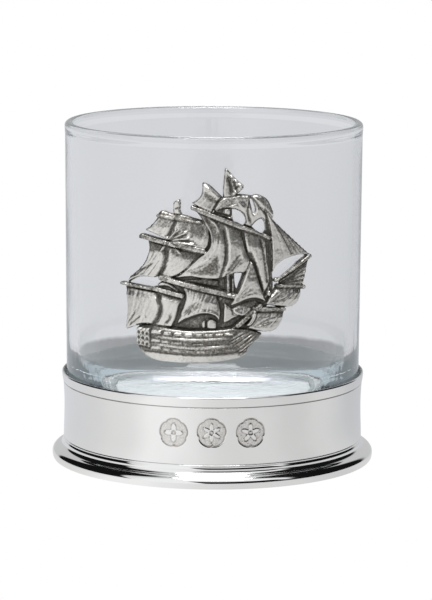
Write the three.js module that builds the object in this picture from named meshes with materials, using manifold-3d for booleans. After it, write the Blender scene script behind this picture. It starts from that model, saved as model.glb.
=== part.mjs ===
// A heavy glass whisky tumbler standing in a polished pewter collar with a flared foot.
// A cast pewter sailing ship is bonded to the front of the glass.
//
// Millimetres. +Z is up, the origin is the centre of the foot's underside, and the
// badge faces -Y.

import * as THREE from "three";
import { mergeVertices } from "three/addons/utils/BufferGeometryUtils.js";
import Module from "manifold-3d";

const wasm = await Module();
wasm.setup();

// ---------------------------------------------------------------- driving dimensions

const SIDES = 72; // every turned piece has the same sides, so thin gaps stay even

const HEIGHT = 93.6; // top of the rim above the table
const RIM_RADIUS = 41.0; // outside of the glass at its rim
const GLASS_FOOT_RADIUS = 40.5; // outside of the glass just above its rounded heel
const WALL = 2.3; // thickness of the glass wall at the rim
const WALL_DRAFT = 0.5; // how much thicker the wall is at the bottom
const HEEL = 4.0; // rounding of the glass's lower outside edge
const GLASS_BOTTOM = 2.6; // the glass's bearing ring above the table
const PUNT = 0.9; // rise of the hollow under the glass
const PUNT_RADIUS = 31.0;
const FLOOR = 16.2; // drinking floor above the table
const FILLET_WIDTH = 8.5; // the wall flows into the drinking floor in a quarter of an ellipse
const FILLET_RISE = 17.0;
const OUTER_BEAD = 0.12; // the fire-polished rim swells this much outside the wall,
const INNER_BEAD = 0.3; // and this much inside it,
const BEAD_BOTTOM = 89.75; // from this height up

const COLLAR_TOP = 24.3;
const COLLAR_BOTTOM = 5.95;
const COLLAR_BORE = 40.75;
const COLLAR_WAIST = 41.24; // the band is slightly hollow, and this is its least radius
const LIP_RADIUS = 41.86;
const GROOVE_HEIGHT = 21.5;
const GROOVE_SIZE = 0.22;

const FOOT_RADIUS = 44.6;
const FOOT_BOTTOM_RADIUS = 44.3;
const FOOT_TOP = 5.9;
const DISC_BOTTOM = 0.9;
const DISC_TOP = 2.1;
const FIT_GAP = 0.1; // clearance between the metal pieces
const BOND_GAP = 0.05; // clearance on each face of an adhesive layer

const MARK_RADIUS = 4.0;
const MARK_DEPTH = 0.2;
const MARKS = [
  // degrees round the collar from its front, height and number of petals
  [-14.5, 14.5, 4],
  [-0.2, 14.8, 6],
  [14.3, 14.65, 5],
];

const BADGE_OFFSET = 0.35; // the badge's back stands this far off the glass
const BADGE_FRONT_Y = -46; // the badge is cut from in front of the glass to behind its edge
const BADGE_REAR_Y = -28;

// ---------------------------------------------------------------- helpers

const radians = THREE.MathUtils.degToRad;

// Points along a circular arc, in degrees, from one angle to another.
function arc(centreX, centreY, radius, from, to, steps) {
  const points = [];
  for (let i = 0; i <= steps; i++) {
    const angle = radians(from + ((to - from) * i) / steps);
    points.push([centreX + radius * Math.cos(angle), centreY + radius * Math.sin(angle)]);
  }
  return points;
}

// A solid of revolution about +Z, from [radius, height] points.
function turned(profile) {
  const points = profile.map(([radius, height]) => new THREE.Vector2(Math.max(radius, 0), height));
  return new THREE.LatheGeometry(points, SIDES).rotateX(Math.PI / 2);
}

// A profile that closes on itself.
function ringProfile(points) {
  return [...points, points[0]];
}

function toSolid(geometry) {
  const bare = geometry.index ? geometry.toNonIndexed() : geometry.clone();
  bare.deleteAttribute("normal");
  bare.deleteAttribute("uv");
  const merged = mergeVertices(bare, 1e-4);
  return new wasm.Manifold(
    new wasm.Mesh({
      numProp: 3,
      vertProperties: merged.attributes.position.array,
      triVerts: new Uint32Array(merged.index.array),
    }),
  );
}

function toGeometry(solid) {
  const mesh = solid.getMesh();
  const positions = new Float32Array(mesh.numVert * 3);
  for (let i = 0; i < mesh.numVert; i++) {
    const start = i * mesh.numProp;
    positions.set(mesh.vertProperties.subarray(start, start + 3), i * 3);
  }
  return new THREE.BufferGeometry()
    .setAttribute("position", new THREE.BufferAttribute(positions, 3))
    .setIndex(new THREE.BufferAttribute(mesh.triVerts, 1))
    .toNonIndexed();
}

function joined(solids) {
  return solids.reduce((sum, next) => sum.add(next));
}

// The outside radius of the glass wall at a height.
function glassRadius(height) {
  const share = (height - GLASS_BOTTOM - HEEL) / (BEAD_BOTTOM - GLASS_BOTTOM - HEEL);
  return GLASS_FOOT_RADIUS + (RIM_RADIUS - OUTER_BEAD - GLASS_FOOT_RADIUS) * share;
}

// A solid round bar that follows a given outline of radius, widened by an offset.
function roundBar(radiusAt, offset, bottom, top) {
  return toSolid(
    turned([
      [0, bottom],
      [radiusAt(bottom) + offset, bottom],
      [radiusAt(top) + offset, top],
      [0, top],
    ]),
  );
}

// A prism along Y whose outline is given as [across, up], across measured round a cylinder.
function frontPrism(outline, radius) {
  const points = outline.map(
    ([across, up]) => new THREE.Vector2(radius * Math.sin(across / radius), up),
  );
  const shape = new THREE.Shape(points);
  const depth = BADGE_REAR_Y - BADGE_FRONT_Y;
  const prism = new THREE.ExtrudeGeometry(shape, { depth, bevelEnabled: false });
  prism.rotateX(Math.PI / 2);
  prism.translate(0, BADGE_REAR_Y, 0);
  return toSolid(prism);
}

// A straight bar between two points, as an outline.
function bar([x0, y0], [x1, y1], width) {
  const length = Math.hypot(x1 - x0, y1 - y0);
  const sideX = (-(y1 - y0) / length) * (width / 2);
  const sideY = ((x1 - x0) / length) * (width / 2);
  return [
    [x0 - sideX, y0 - sideY],
    [x1 - sideX, y1 - sideY],
    [x1 + sideX, y1 + sideY],
    [x0 + sideX, y0 + sideY],
  ];
}

function material(color, roughness, metalness, extra = {}) {
  return new THREE.MeshStandardMaterial({ color, roughness, metalness, ...extra });
}

function part(name, geometry, look) {
  const mesh = new THREE.Mesh(geometry, look);
  mesh.name = name;
  return mesh;
}

// ---------------------------------------------------------------- materials

const clearGlass = material(0xdfe6e8, 0.03, 0, { transparent: true, opacity: 0.35 });
const polishedPewter = material(0xd2d3d6, 0.12, 1);
const satinPewter = material(0xa3a4a2, 0.4, 1);
const castPewter = material(0x9c9a94, 0.35, 1);
const clearBond = material(0xe6e8e4, 0.3, 0, { transparent: true, opacity: 0.5 });

// ---------------------------------------------------------------- turned pieces

// The glass: hollow underside, rounded heel, drafted wall, beaded round rim, filleted floor.
function glassTumbler() {
  const heelCentre = GLASS_FOOT_RADIUS - HEEL;
  const rimRound = WALL / 2;
  const innerTop = RIM_RADIUS - WALL;
  const innerBottom = GLASS_FOOT_RADIUS - WALL - WALL_DRAFT;
  const fillet = arc(0, 0, 1, 0, -82, 9).map(([across, up]) => [
    innerBottom - FILLET_WIDTH * (1 - across),
    FLOOR + FILLET_RISE * (1 + up),
  ]);
  return turned([
    [0, GLASS_BOTTOM + PUNT],
    [PUNT_RADIUS * 0.5, GLASS_BOTTOM + PUNT * 0.8],
    [PUNT_RADIUS, GLASS_BOTTOM],
    ...arc(heelCentre, GLASS_BOTTOM + HEEL, HEEL, -90, 0, 5),
    [RIM_RADIUS - OUTER_BEAD, BEAD_BOTTOM],
    ...arc(RIM_RADIUS - rimRound, HEIGHT - rimRound, rimRound, 0, 180, 6),
    [innerTop + INNER_BEAD, BEAD_BOTTOM],
    ...fillet,
    [0, FLOOR - 0.4],
  ]);
}

// A band that hugs the glass, with a flared lip, a fine groove and a slightly hollow side.
function collarBlank() {
  const lipInner = LIP_RADIUS - 0.62;
  const grooveRadius = 41.55;
  return toSolid(
    turned(
      ringProfile([
        [COLLAR_BORE, COLLAR_BOTTOM],
        [41.46, COLLAR_BOTTOM],
        [41.38, 9.0],
        [COLLAR_WAIST + 0.03, 12.4],
        [COLLAR_WAIST, 16.3],
        [COLLAR_WAIST + 0.12, 19.2],
        [grooveRadius - 0.05, GROOVE_HEIGHT - GROOVE_SIZE / 2],
        [grooveRadius - GROOVE_SIZE, GROOVE_HEIGHT],
        [grooveRadius + 0.02, GROOVE_HEIGHT + GROOVE_SIZE / 2],
        [LIP_RADIUS, COLLAR_TOP - 0.6],
        [LIP_RADIUS - 0.04, COLLAR_TOP - 0.2],
        [LIP_RADIUS - 0.25, COLLAR_TOP],
        [lipInner, COLLAR_TOP - 0.15],
        [COLLAR_BORE + 0.12, COLLAR_TOP - 2.2],
        [COLLAR_BORE, COLLAR_TOP - 4.5],
      ]),
    ),
  );
}

// The petals left standing in a stamped mark, as an outline round [0, height].
function rosette(petals, height) {
  const steps = petals * 8;
  return Array.from({ length: steps }, (_, i) => {
    const angle = (2 * Math.PI * i) / steps;
    const radius = 1.9 + 0.6 * Math.cos(petals * angle);
    return [radius * Math.cos(angle), height + radius * Math.sin(angle)];
  });
}

// One stamped mark: a round sunk field with a plain rosette standing in it.
function stampedMark([angle, height, petals]) {
  const field = arc(0, height, MARK_RADIUS, 0, 345, 23);
  const outline = frontPrism(field, COLLAR_WAIST).subtract(
    frontPrism(rosette(petals, height), COLLAR_WAIST),
  );
  return outline.subtract(roundBar(() => COLLAR_WAIST, -MARK_DEPTH, 8, 22)).rotate([0, 0, angle]);
}

function collarBand() {
  const marks = MARKS.map(stampedMark);
  return toGeometry(marks.reduce((band, mark) => band.subtract(mark), collarBlank()));
}

// The foot moulding: flat underside, wide round, cove and a small bead under the collar.
function footRing() {
  const roundHeight = 1.3;
  return turned(
    ringProfile([
      [COLLAR_BORE, 0],
      [FOOT_BOTTOM_RADIUS, 0],
      [44.43, 0.22],
      [44.55, 0.75],
      [FOOT_RADIUS, roundHeight],
      [44.57, 1.75],
      [44.4, 2.25],
      [44.0, 2.75],
      [43.3, 3.15],
      [42.6, 3.42],
      [42.15, 3.68],
      [41.78, 4.2],
      [41.73, 4.65],
      [41.66, 5.08],
      [41.49, 5.45],
      [41.46, FOOT_TOP],
      [COLLAR_BORE, FOOT_TOP],
    ]),
  );
}

// The floor plate let into the foot ring.
function baseDisc() {
  const radius = COLLAR_BORE - FIT_GAP;
  return turned([
    [0, DISC_BOTTOM],
    [radius - 0.2, DISC_BOTTOM],
    [radius, DISC_BOTTOM + 0.2],
    [radius, DISC_TOP],
    [0, DISC_TOP],
  ]);
}

// The bond ring between the floor plate and the bearing ring of the glass.
function baseAdhesive() {
  return turned(
    ringProfile([
      [PUNT_RADIUS + 0.3, DISC_TOP + BOND_GAP],
      [GLASS_FOOT_RADIUS - HEEL - 0.3, DISC_TOP + BOND_GAP],
      [GLASS_FOOT_RADIUS - HEEL - 0.3, GLASS_BOTTOM - BOND_GAP],
      [PUNT_RADIUS + 0.3, GLASS_BOTTOM - BOND_GAP],
    ]),
  );
}

// ---------------------------------------------------------------- ship badge

// Heights that the layers of the casting stand out from its back.
const DEEP = 1.3;
const SAIL = 1.7;
const FULL_SAIL = 2.1;
const SPAR = 2.5;
const HULL = 2.9;
const HULL_TRIM = 3.3;

// Each layer: how far it stands out, then its outline as [across, up] round the glass.
const shipLayers = [
  // Hull, stern gallery, wales and keel strip.
  [HULL, [[-20.7, 43], [-20.6, 38.2], [-20, 36.9], [-18.4, 35.3], [-16.2, 34.2], [-13.6, 33.7],
    [-8, 33.6], [0, 34], [5.6, 34.8], [8.6, 35.9], [9.6, 38.2], [12, 40.2], [13.3, 41.6],
    [9.2, 42.6], [5, 43.4], [2, 42.9], [-6, 42.4], [-13.4, 43.4], [-17.2, 43.8]]],
  [HULL_TRIM, [[-20.6, 42.6], [-20.5, 38], [-16.9, 37.8], [-16.9, 42.4]]],
  [HULL_TRIM, bar([-16.8, 40], [6.4, 39.6], 0.8)],
  [HULL_TRIM, bar([-16.8, 37.9], [7.4, 37.3], 0.8)],
  [HULL_TRIM, bar([-14, 42.3], [4, 42], 0.8)],
  [SPAR, bar([4.6, 42.4], [12.4, 49], 1.9)],
  // Backing between the masts.
  [DEEP, [[-9.8, 42.4], [9.8, 42.4], [12.4, 47.6], [15.4, 51], [15.6, 57], [15.4, 66.4],
    [8, 69.6], [-1, 68], [-3, 61], [-9, 56.6]]],
  // Mizzen mast, on the left: course, topsail, topgallant, yards and pennant.
  [SAIL, [[-24.5, 52.8], [-24, 50.4], [-24.1, 45.6], [-24.6, 41.7], [-20.8, 43], [-17.6, 43.2],
    [-9.8, 42.2], [-7.8, 47.6], [-7.6, 50.6], [-8.6, 53.2], [-12.2, 55.2], [-15.6, 54.4]]],
  [SPAR, bar([-25.8, 54], [-8, 51.6], 1.6)],
  [SAIL, [[-19, 66.8], [-17.7, 64], [-18.6, 60.8], [-20.2, 58.4], [-23.8, 55.1], [-23.4, 53.4],
    [-14.4, 52.6], [-9.6, 54.4], [-5.8, 59.4], [-2.6, 62.6], [-2.8, 64.6]]],
  [SPAR, bar([-19.5, 67.3], [-2.8, 63.6], 1.5)],
  [SAIL, [[-14.8, 73.4], [-14, 74.1], [-10.6, 73.3], [-4.2, 72.3], [-2.2, 70.8], [-1, 67.1],
    [-1.7, 64.2], [-12, 65.4], [-18.7, 68.8], [-16.4, 70.6], [-15.1, 72.2]]],
  [SPAR, bar([-14.9, 72.8], [-4.4, 71.2], 0.9)],
  [SAIL, [[-10.7, 73], [-10.8, 76.4], [-9.2, 77.1], [-8.8, 75.8], [-8.5, 73]]],
  // Main mast: course, topsail, topgallant, royal, yards and flag.
  [FULL_SAIL, [[-8.2, 54.4], [-7.3, 51.2], [-8.2, 47.6], [-9.6, 44.2], [-7, 45.6], [-3, 47],
    [0.8, 46.9], [1, 44], [2.4, 44], [2.6, 48], [1.6, 53]]],
  [SPAR, bar([-14.2, 56.3], [5.6, 51.8], 1.7)],
  [FULL_SAIL, [[-4.6, 74.8], [-2, 70.8], [-0.9, 67], [-1.4, 64.4], [-3.2, 62.2], [-6.4, 59.4],
    [-11.2, 56.2], [-4, 57.2], [2, 57], [8, 57.9], [8.9, 60.4], [7.9, 64], [7.6, 69.4]]],
  [SPAR, bar([-5.2, 75], [15, 67], 1.5)],
  [SAIL, [[-3, 81.7], [-0.4, 80.9], [2.4, 78.4], [5, 78.7], [8, 78.6], [10.2, 78.2], [12.4, 75.6],
    [14.6, 72.2], [15.2, 67.6], [5, 70.6], [-5.8, 75.4], [-5.8, 76.5], [-3.6, 78.2], [-2.9, 80]]],
  [SAIL, [[2.7, 78], [2.8, 83.6], [3.1, 85.7], [5.2, 83.8], [8, 80.9], [7.4, 79.8], [5.2, 78]]],
  // Fore mast, on the right: topsail, topgallant and the sail set low before the main mast.
  [FULL_SAIL, [[8.2, 69], [12.2, 67.4], [13.4, 64.8], [14, 60], [14.9, 54.4], [14.4, 50.4],
    [12.6, 55.4], [10.4, 60.4], [8.6, 64]]],
  [SAIL, [[9.8, 78.3], [11.6, 78.5], [13.2, 78.1], [14.6, 77.2], [15.6, 75.6], [16.1, 73.6],
    [16, 71.6], [13.2, 73.6]]],
  [FULL_SAIL, [[10.6, 59.8], [7.8, 55.4], [6.6, 52.4], [4.4, 49.2], [7, 50], [11, 50.9],
    [14.3, 49.9], [12.6, 53.6], [11.4, 58]]],
  // Head sails: jib, boom, fan of shrouds and the two sails under the bowsprit.
  [SAIL, [[13.2, 74.9], [16.1, 71.9], [21, 67.2], [24.2, 64.6], [27.7, 61.6], [25, 61.7],
    [22, 61.4], [19.6, 60.8], [18, 60], [16.6, 58.6], [15.8, 56], [14.9, 57], [15.4, 66]]],
  [SPAR, bar([16.4, 54.4], [27.4, 61.4], 1.1)],
  [SAIL, [[15, 53.4], [18, 55.6], [27.3, 61.2], [26.9, 59], [26.2, 56], [25.2, 52.4], [15.4, 51.6]]],
  [SPAR, bar([16.4, 54.2], [25.3, 53.2], 1.5)],
  [FULL_SAIL, [[14.2, 48], [15, 52.8], [25, 52.8], [24.4, 51], [23.2, 49.2], [21.6, 48.2]]],
  [SPAR, bar([11, 48], [20, 47.4], 1.5)],
  [FULL_SAIL, [[10.2, 46.6], [19.8, 47], [19.2, 44.8], [18, 43.2], [15.8, 42], [12.6, 41.4], [9, 42.4]]],
];

// Gaps that go right through the casting.
const shipGaps = [
  [[-22, 54.9], [-20.6, 55.5], [-18.4, 55.7], [-16.4, 55.2], [-16.2, 54.3], [-19, 54.1]],
  [[4.9, 74.6], [6.2, 74.5], [7.5, 73.7], [8.4, 72.4], [8.3, 71], [5.2, 72.2]],
  [[9.6, 77.6], [10.4, 77.2], [11.3, 75], [10.8, 73.7], [10.2, 75]],
  [[10.2, 70.3], [12, 71.8], [13, 72], [13.8, 71], [14.1, 69.6], [13.6, 68.6], [12, 69.1]],
  [[5.5, 57.7], [7.4, 57.8], [7.3, 56.4], [6.7, 54.8], [6.2, 53.6], [5.7, 54.4]],
  [[24.8, 61.1], [22, 60.7], [20, 59.8], [18.2, 58.2], [17.2, 56.6], [18.2, 56.4]],
];

const badgeCylinder = glassRadius(60) + BADGE_OFFSET;
const BADGE_BOTTOM = 32;
const BADGE_TOP = 88;

// A round bar of the glass's own draft, a given distance outside the glass.
function outsideGlass(offset) {
  return roundBar(glassRadius, offset, BADGE_BOTTOM, BADGE_TOP);
}

// All the layers of one height are joined before they are cut to the curve of the glass.
function shipLayer(proud) {
  const outlines = shipLayers.filter(([height]) => height === proud);
  const prisms = outlines.map(([, outline]) => frontPrism(outline, badgeCylinder));
  return joined(prisms).intersect(outsideGlass(BADGE_OFFSET + proud));
}

function shipBadge() {
  const layers = [DEEP, SAIL, FULL_SAIL, SPAR, HULL, HULL_TRIM].map(shipLayer);
  const gaps = shipGaps.map((outline) => frontPrism(outline, badgeCylinder));
  return toGeometry(joined(layers).subtract(joined(gaps)).subtract(outsideGlass(BADGE_OFFSET)));
}

// The clear bond pad, hidden behind the hull and the main sails.
function badgeAdhesive() {
  const outline = [[-16, 36], [4, 36], [6, 42], [4, 50], [1, 62], [-1.8, 62], [-8, 54], [-17, 50]];
  return toGeometry(
    frontPrism(outline, badgeCylinder)
      .intersect(outsideGlass(BADGE_OFFSET - BOND_GAP))
      .subtract(outsideGlass(BOND_GAP)),
  );
}

// ---------------------------------------------------------------- assembly

const tumbler = new THREE.Group();
tumbler.add(
  part("glass_tumbler", glassTumbler(), clearGlass),
  part("collar_band", collarBand(), polishedPewter),
  part("foot_ring", footRing(), polishedPewter),
  part("base_disc", baseDisc(), satinPewter),
  part("base_adhesive", baseAdhesive(), clearBond),
  part("ship_badge", shipBadge(), castPewter),
  part("badge_adhesive", badgeAdhesive(), clearBond),
);

export default tumbler;
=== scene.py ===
"""A glass whisky tumbler in a polished pewter collar, with a cast pewter ship on its front.

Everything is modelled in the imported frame: +Z up, the foot's underside at z = 0, the badge
facing -Y. Sizes below are in millimetres, and meshes are written in metres.
"""

import math

import bpy
import numpy as np
from mathutils import Matrix, Vector


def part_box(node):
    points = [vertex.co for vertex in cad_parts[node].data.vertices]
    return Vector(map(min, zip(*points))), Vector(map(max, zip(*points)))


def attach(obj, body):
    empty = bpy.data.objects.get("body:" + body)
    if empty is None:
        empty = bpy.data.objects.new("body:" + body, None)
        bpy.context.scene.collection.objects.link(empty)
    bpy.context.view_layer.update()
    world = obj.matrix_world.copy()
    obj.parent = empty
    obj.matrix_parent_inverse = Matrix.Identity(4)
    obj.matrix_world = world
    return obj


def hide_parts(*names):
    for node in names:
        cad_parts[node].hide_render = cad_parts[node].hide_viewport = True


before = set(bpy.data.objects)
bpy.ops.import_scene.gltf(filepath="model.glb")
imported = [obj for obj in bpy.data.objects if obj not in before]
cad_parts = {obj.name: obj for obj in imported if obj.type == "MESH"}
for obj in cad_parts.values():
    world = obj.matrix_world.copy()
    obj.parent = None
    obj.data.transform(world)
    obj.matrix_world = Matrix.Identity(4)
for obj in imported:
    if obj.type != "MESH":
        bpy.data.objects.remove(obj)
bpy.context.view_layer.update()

MM = 0.001

# ---------------------------------------------------------------- sizes from the frame


def millimetres(node):
    """The lowest and highest corner of a node's box."""
    low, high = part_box(node)
    return np.array(low) / MM, np.array(high) / MM


glass_low, glass_high = millimetres("glass_tumbler")
collar_low, collar_high = millimetres("collar_band")
_, foot_high = millimetres("foot_ring")
disc_low, disc_high = millimetres("base_disc")
bond_low, bond_high = millimetres("base_adhesive")

RIM_RADIUS = glass_high[0]
RIM_HEIGHT = glass_high[2]
GLASS_BOTTOM = glass_low[2]
GLASS_FOOT_RADIUS = RIM_RADIUS - 0.5
WALL = 2.3  # at the rim
WALL_DRAFT = 0.5  # how much thicker the wall is at the bottom
OUTER_BEAD = 0.12  # how far the fire-polished rim swells outside the wall,
INNER_BEAD = 0.3  # and inside it,
BEAD_DROP = 2.7  # over this height
HEEL = 4.0  # rounding of the lower outside edge
PUNT = 0.9  # rise of the hollow under the glass
PUNT_RADIUS = 31.0
FLOOR = 16.2  # drinking floor
FILLET_WIDTH = 8.5  # the wall flows into the floor in a quarter of an ellipse
FILLET_RISE = 17.0

LIP_RADIUS = collar_high[0]
COLLAR_TOP = collar_high[2]
COLLAR_BOTTOM = collar_low[2]
COLLAR_BORE = 40.75
COLLAR_WAIST = 41.24
GROOVE_HEIGHT = 21.5
MARK_RADIUS = 4.0
MARKS = [(-14.5, 14.5, 4), (-0.2, 14.8, 6), (14.3, 14.65, 5)]  # degrees from the front, height, petals
MARKED_ARC = 21  # degrees each side of the front, with a finer mesh

BADGE_GAP = 0.35  # between the badge's back and the glass
WRAP_RADIUS = 42.3  # the badge's widths are measured round this radius

FOOT_RADIUS = foot_high[0]
FOOT_TOP = foot_high[2]


def glass_radius(height):
    """The outside radius of the glass wall at a height."""
    low = GLASS_BOTTOM + HEEL
    share = (height - low) / (RIM_HEIGHT - WALL / 2 - BEAD_DROP - low)
    return GLASS_FOOT_RADIUS + (RIM_RADIUS - OUTER_BEAD - GLASS_FOOT_RADIUS) * share


# ---------------------------------------------------------------- mesh helpers

TURNED_SIDES = 288


def arc(centre_r, centre_z, radius, start, end, steps):
    """Points along a circular arc, in degrees."""
    angles = np.radians(np.linspace(start, end, steps + 1))
    return [(centre_r + radius * math.cos(a), centre_z + radius * math.sin(a)) for a in angles]


def curve_through(points, step=0.4):
    """A smooth Catmull-Rom curve through points, as points about step apart."""
    p = np.array(points, float)
    ends = np.vstack([2 * p[0] - p[1], p, 2 * p[-1] - p[-2]])
    made = [p[0]]
    for i in range(1, len(p)):
        a, b, c, d = ends[i - 1], ends[i], ends[i + 1], ends[i + 2]
        count = max(2, int(math.ceil(np.linalg.norm(c - b) / step)))
        for t in np.linspace(0, 1, count + 1)[1:]:
            made.append(
                0.5 * (2 * b + (c - a) * t + (2 * a - 5 * b + 4 * c - d) * t**2
                       + (3 * b - a - 3 * c + d) * t**3)
            )
    return [tuple(x) for x in made]


def straight(a, b, step=1.5):
    """Points along a line, without its last one."""
    count = max(1, int(math.ceil(math.dist(a, b) / step)))
    return [tuple(np.array(a) + (np.array(b) - a) * k / count) for k in range(count)]


def rounded(corners):
    """A closed profile from corners (radius, height, rounding), with each corner rounded."""
    made = []
    for i, (r, z, rounding) in enumerate(corners):
        here = np.array((r, z), float)
        before = np.array(corners[i - 1][:2], float)
        after = np.array(corners[(i + 1) % len(corners)][:2], float)
        to_before = (before - here) / np.linalg.norm(before - here)
        to_after = (after - here) / np.linalg.norm(after - here)
        half = math.acos(np.clip(to_before @ to_after, -1, 1)) / 2
        cut = rounding / math.tan(half)
        start, end = here + to_before * cut, here + to_after * cut
        for t in np.linspace(0, 1, 6):
            made.append(tuple((1 - t) ** 2 * start + 2 * t * (1 - t) * here + t**2 * end))
        next_cut = corners[(i + 1) % len(corners)][2]
        made.extend(straight(end, after - to_after * next_cut)[1:])
    return made


def new_object(name, vertices, faces, patina_and_shade=None):
    """A smooth-shaded mesh object from vertices in millimetres, with how dark each one is."""
    mesh = bpy.data.meshes.new(name)
    mesh.from_pydata((np.asarray(vertices, float) * MM).tolist(), [], faces)
    mesh.validate()
    mesh.shade_smooth()
    if patina_and_shade is not None:
        layer = mesh.attributes.new("patina_and_shade", "FLOAT", "POINT")
        layer.data.foreach_set("value", np.asarray(patina_and_shade, np.float32))
    piece = bpy.data.objects.new(name, mesh)
    bpy.context.scene.collection.objects.link(piece)
    return piece


def turned(name, profile, angles=None, closed=True, relief=None):
    """A solid of revolution about +Z. A closed profile is a ring; an open one ends on the axis.

    relief(angles, radii, heights) gives how deep the surface is cut and how dark it is there.
    """
    if angles is None:
        angles = np.linspace(0, 2 * math.pi, TURNED_SIDES, endpoint=False)
    profile = np.array(profile, float)
    inner = profile if closed else profile[1:-1]
    columns, rows = len(angles), len(inner)
    around, r = np.meshgrid(angles, inner[:, 0], indexing="ij")
    z = np.broadcast_to(inner[:, 1], r.shape)
    patina_and_shade = None
    if relief is not None:
        cut, patina_and_shade = relief(around, r, z)
        r = r - cut
        patina_and_shade = patina_and_shade.ravel()
    vertices = np.stack([r * np.sin(around), -r * np.cos(around), z], -1).reshape(-1, 3)
    faces = []
    for c in range(columns):
        d = (c + 1) % columns
        for k in range(rows if closed else rows - 1):
            m = (k + 1) % rows
            faces.append((c * rows + k, d * rows + k, d * rows + m, c * rows + m))
    if not closed:
        bottom, top = len(vertices), len(vertices) + 1
        vertices = np.vstack([vertices, [(0, 0, profile[0, 1]), (0, 0, profile[-1, 1])]])
        for c in range(columns):
            d = (c + 1) % columns
            faces.append((bottom, d * rows, c * rows))
            faces.append((top, c * rows + rows - 1, d * rows + rows - 1))
    return new_object(name, vertices, faces, patina_and_shade)


# ---------------------------------------------------------------- material helpers


class Shader:
    """A short way to write the node tree of a material or a world."""

    def __init__(self, owner):
        owner.use_nodes = True
        self.owner = owner
        self.tree = owner.node_tree
        self.tree.nodes.clear()

    def node(self, kind, *links, **settings):
        """Adds a node. links are (socket, value or output) pairs."""
        made = self.tree.nodes.new("ShaderNode" + kind)
        for key, value in settings.items():
            setattr(made, key, value)
        for socket, value in links:
            target = made.inputs[socket]
            if isinstance(value, bpy.types.NodeSocket):
                self.tree.links.new(value, target)
            else:
                target.default_value = value
        return made

    def math(self, operation, a, b=0.5, clamp=False):
        return self.node("Math", (0, a), (1, b), operation=operation, use_clamp=clamp).outputs[0]

    def noise(self, vector, scale, detail):
        made = self.node("TexNoise", ("Vector", vector), ("Scale", scale), ("Detail", detail))
        return made.outputs["Fac"]

    def between(self, value, low, high, out_low, out_high):
        """Carries a value from one range to another, and no further."""
        made = self.node(
            "MapRange", ("Value", value), ("From Min", low), ("From Max", high),
            ("To Min", out_low), ("To Max", out_high),
        )
        return made.outputs[0]

    def colours(self, factor, *stops):
        """A colour ramp of (position, (r, g, b)) stops."""
        ramp = self.node("ValToRGB", ("Fac", factor))
        elements = ramp.color_ramp.elements
        for element, (position, colour) in zip(elements, stops):
            element.position, element.color = position, (*colour, 1)
        for position, colour in stops[2:]:
            elements.new(position).color = (*colour, 1)
        return ramp.outputs[0]

    def curve(self, factor, stops):
        """A grey curve through (degrees, value) stops, with 0..1 standing for -180..180 degrees."""
        made = self.node("FloatCurve", ("Value", factor))
        points = made.mapping.curves[0].points
        made.mapping.clip_max_y = 2.0
        made.mapping.extend = "HORIZONTAL"
        places = [((degrees + 180) / 360, value) for degrees, value in stops]
        points[0].location, points[1].location = places[0], places[-1]
        for place in places[1:-1]:
            points.new(*place)
        made.mapping.update()
        return made.outputs[0]

    def place(self):
        return self.node("TexCoord").outputs["Object"]

    def finish(self, shader, volume=None):
        out = self.node("OutputMaterial", ("Surface", shader))
        if volume is not None:
            self.tree.links.new(volume, out.inputs["Volume"])
        return self.owner


def material_shader(name):
    return Shader(bpy.data.materials.new(name))


def turned_place(shader):
    """Coordinates (radius, angle, height) in metres, so that turning marks run round the piece."""
    parts = shader.node("SeparateXYZ", (0, shader.place())).outputs
    radius = shader.math("SQRT", shader.math("ADD", shader.math("MULTIPLY", parts[0], parts[0]),
                                             shader.math("MULTIPLY", parts[1], parts[1])))
    angle = shader.math("MULTIPLY", shader.math("ARCTAN2", parts[0], parts[1]), 0.0004)
    return shader.node("CombineXYZ", (0, radius), (1, angle), (2, parts[2])).outputs[0]


# ---------------------------------------------------------------- materials


# After this many bounces inside it, the glass gives off a painted, soft even glow of its own in place of the
# light it would carry.
PAINTED_GLOW_DEPTH = (5, 8)
PAINTED_GLOW = (0.56, 0.62, 0.65, 1)


def glass_material():
    """Clear glass, with the faint waviness of a fire-polished surface, a cool thick base and a painted pale
    glow deep inside after several bounces.
    """
    s = material_shader("clear_glass")
    wave = s.noise(s.place(), 55, 1)
    height = s.node("SeparateXYZ", (0, s.place())).outputs[2]
    drawn = s.node("Mapping", (0, s.place()), ("Scale", (1, 1, 0.1))).outputs[0]
    streak = s.math("MULTIPLY", s.noise(drawn, 240, 2), s.between(height, 0.042, 0.026, 0.0, 2.2))
    bump = s.node("Bump", ("Strength", 0.05), ("Distance", 0.001), ("Height", s.math("ADD", wave, streak)))
    body = s.node(
        "BsdfPrincipled", ("Base Color", (1, 1, 1, 1)), ("Roughness", 0.0),
        ("IOR", 1.5), ("Transmission Weight", 1.0), ("Normal", bump.outputs[0]),
    )
    # Painted glow: past a few bounces the glass gives off a pale grey light of its own.
    glow_share = s.between(s.node("LightPath").outputs["Ray Depth"], *PAINTED_GLOW_DEPTH, 0.0, 1.0)
    painted_glow = s.node("Emission", ("Color", PAINTED_GLOW), ("Strength", 1.0))
    surface = s.node("MixShader", (0, glow_share), (1, body.outputs[0]), (2, painted_glow.outputs[0]))
    tint = s.node("VolumeAbsorption", ("Color", (0.5, 0.67, 0.76, 1)), ("Density", 6.0))
    return s.finish(surface.outputs[0], tint.outputs[0])


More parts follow.
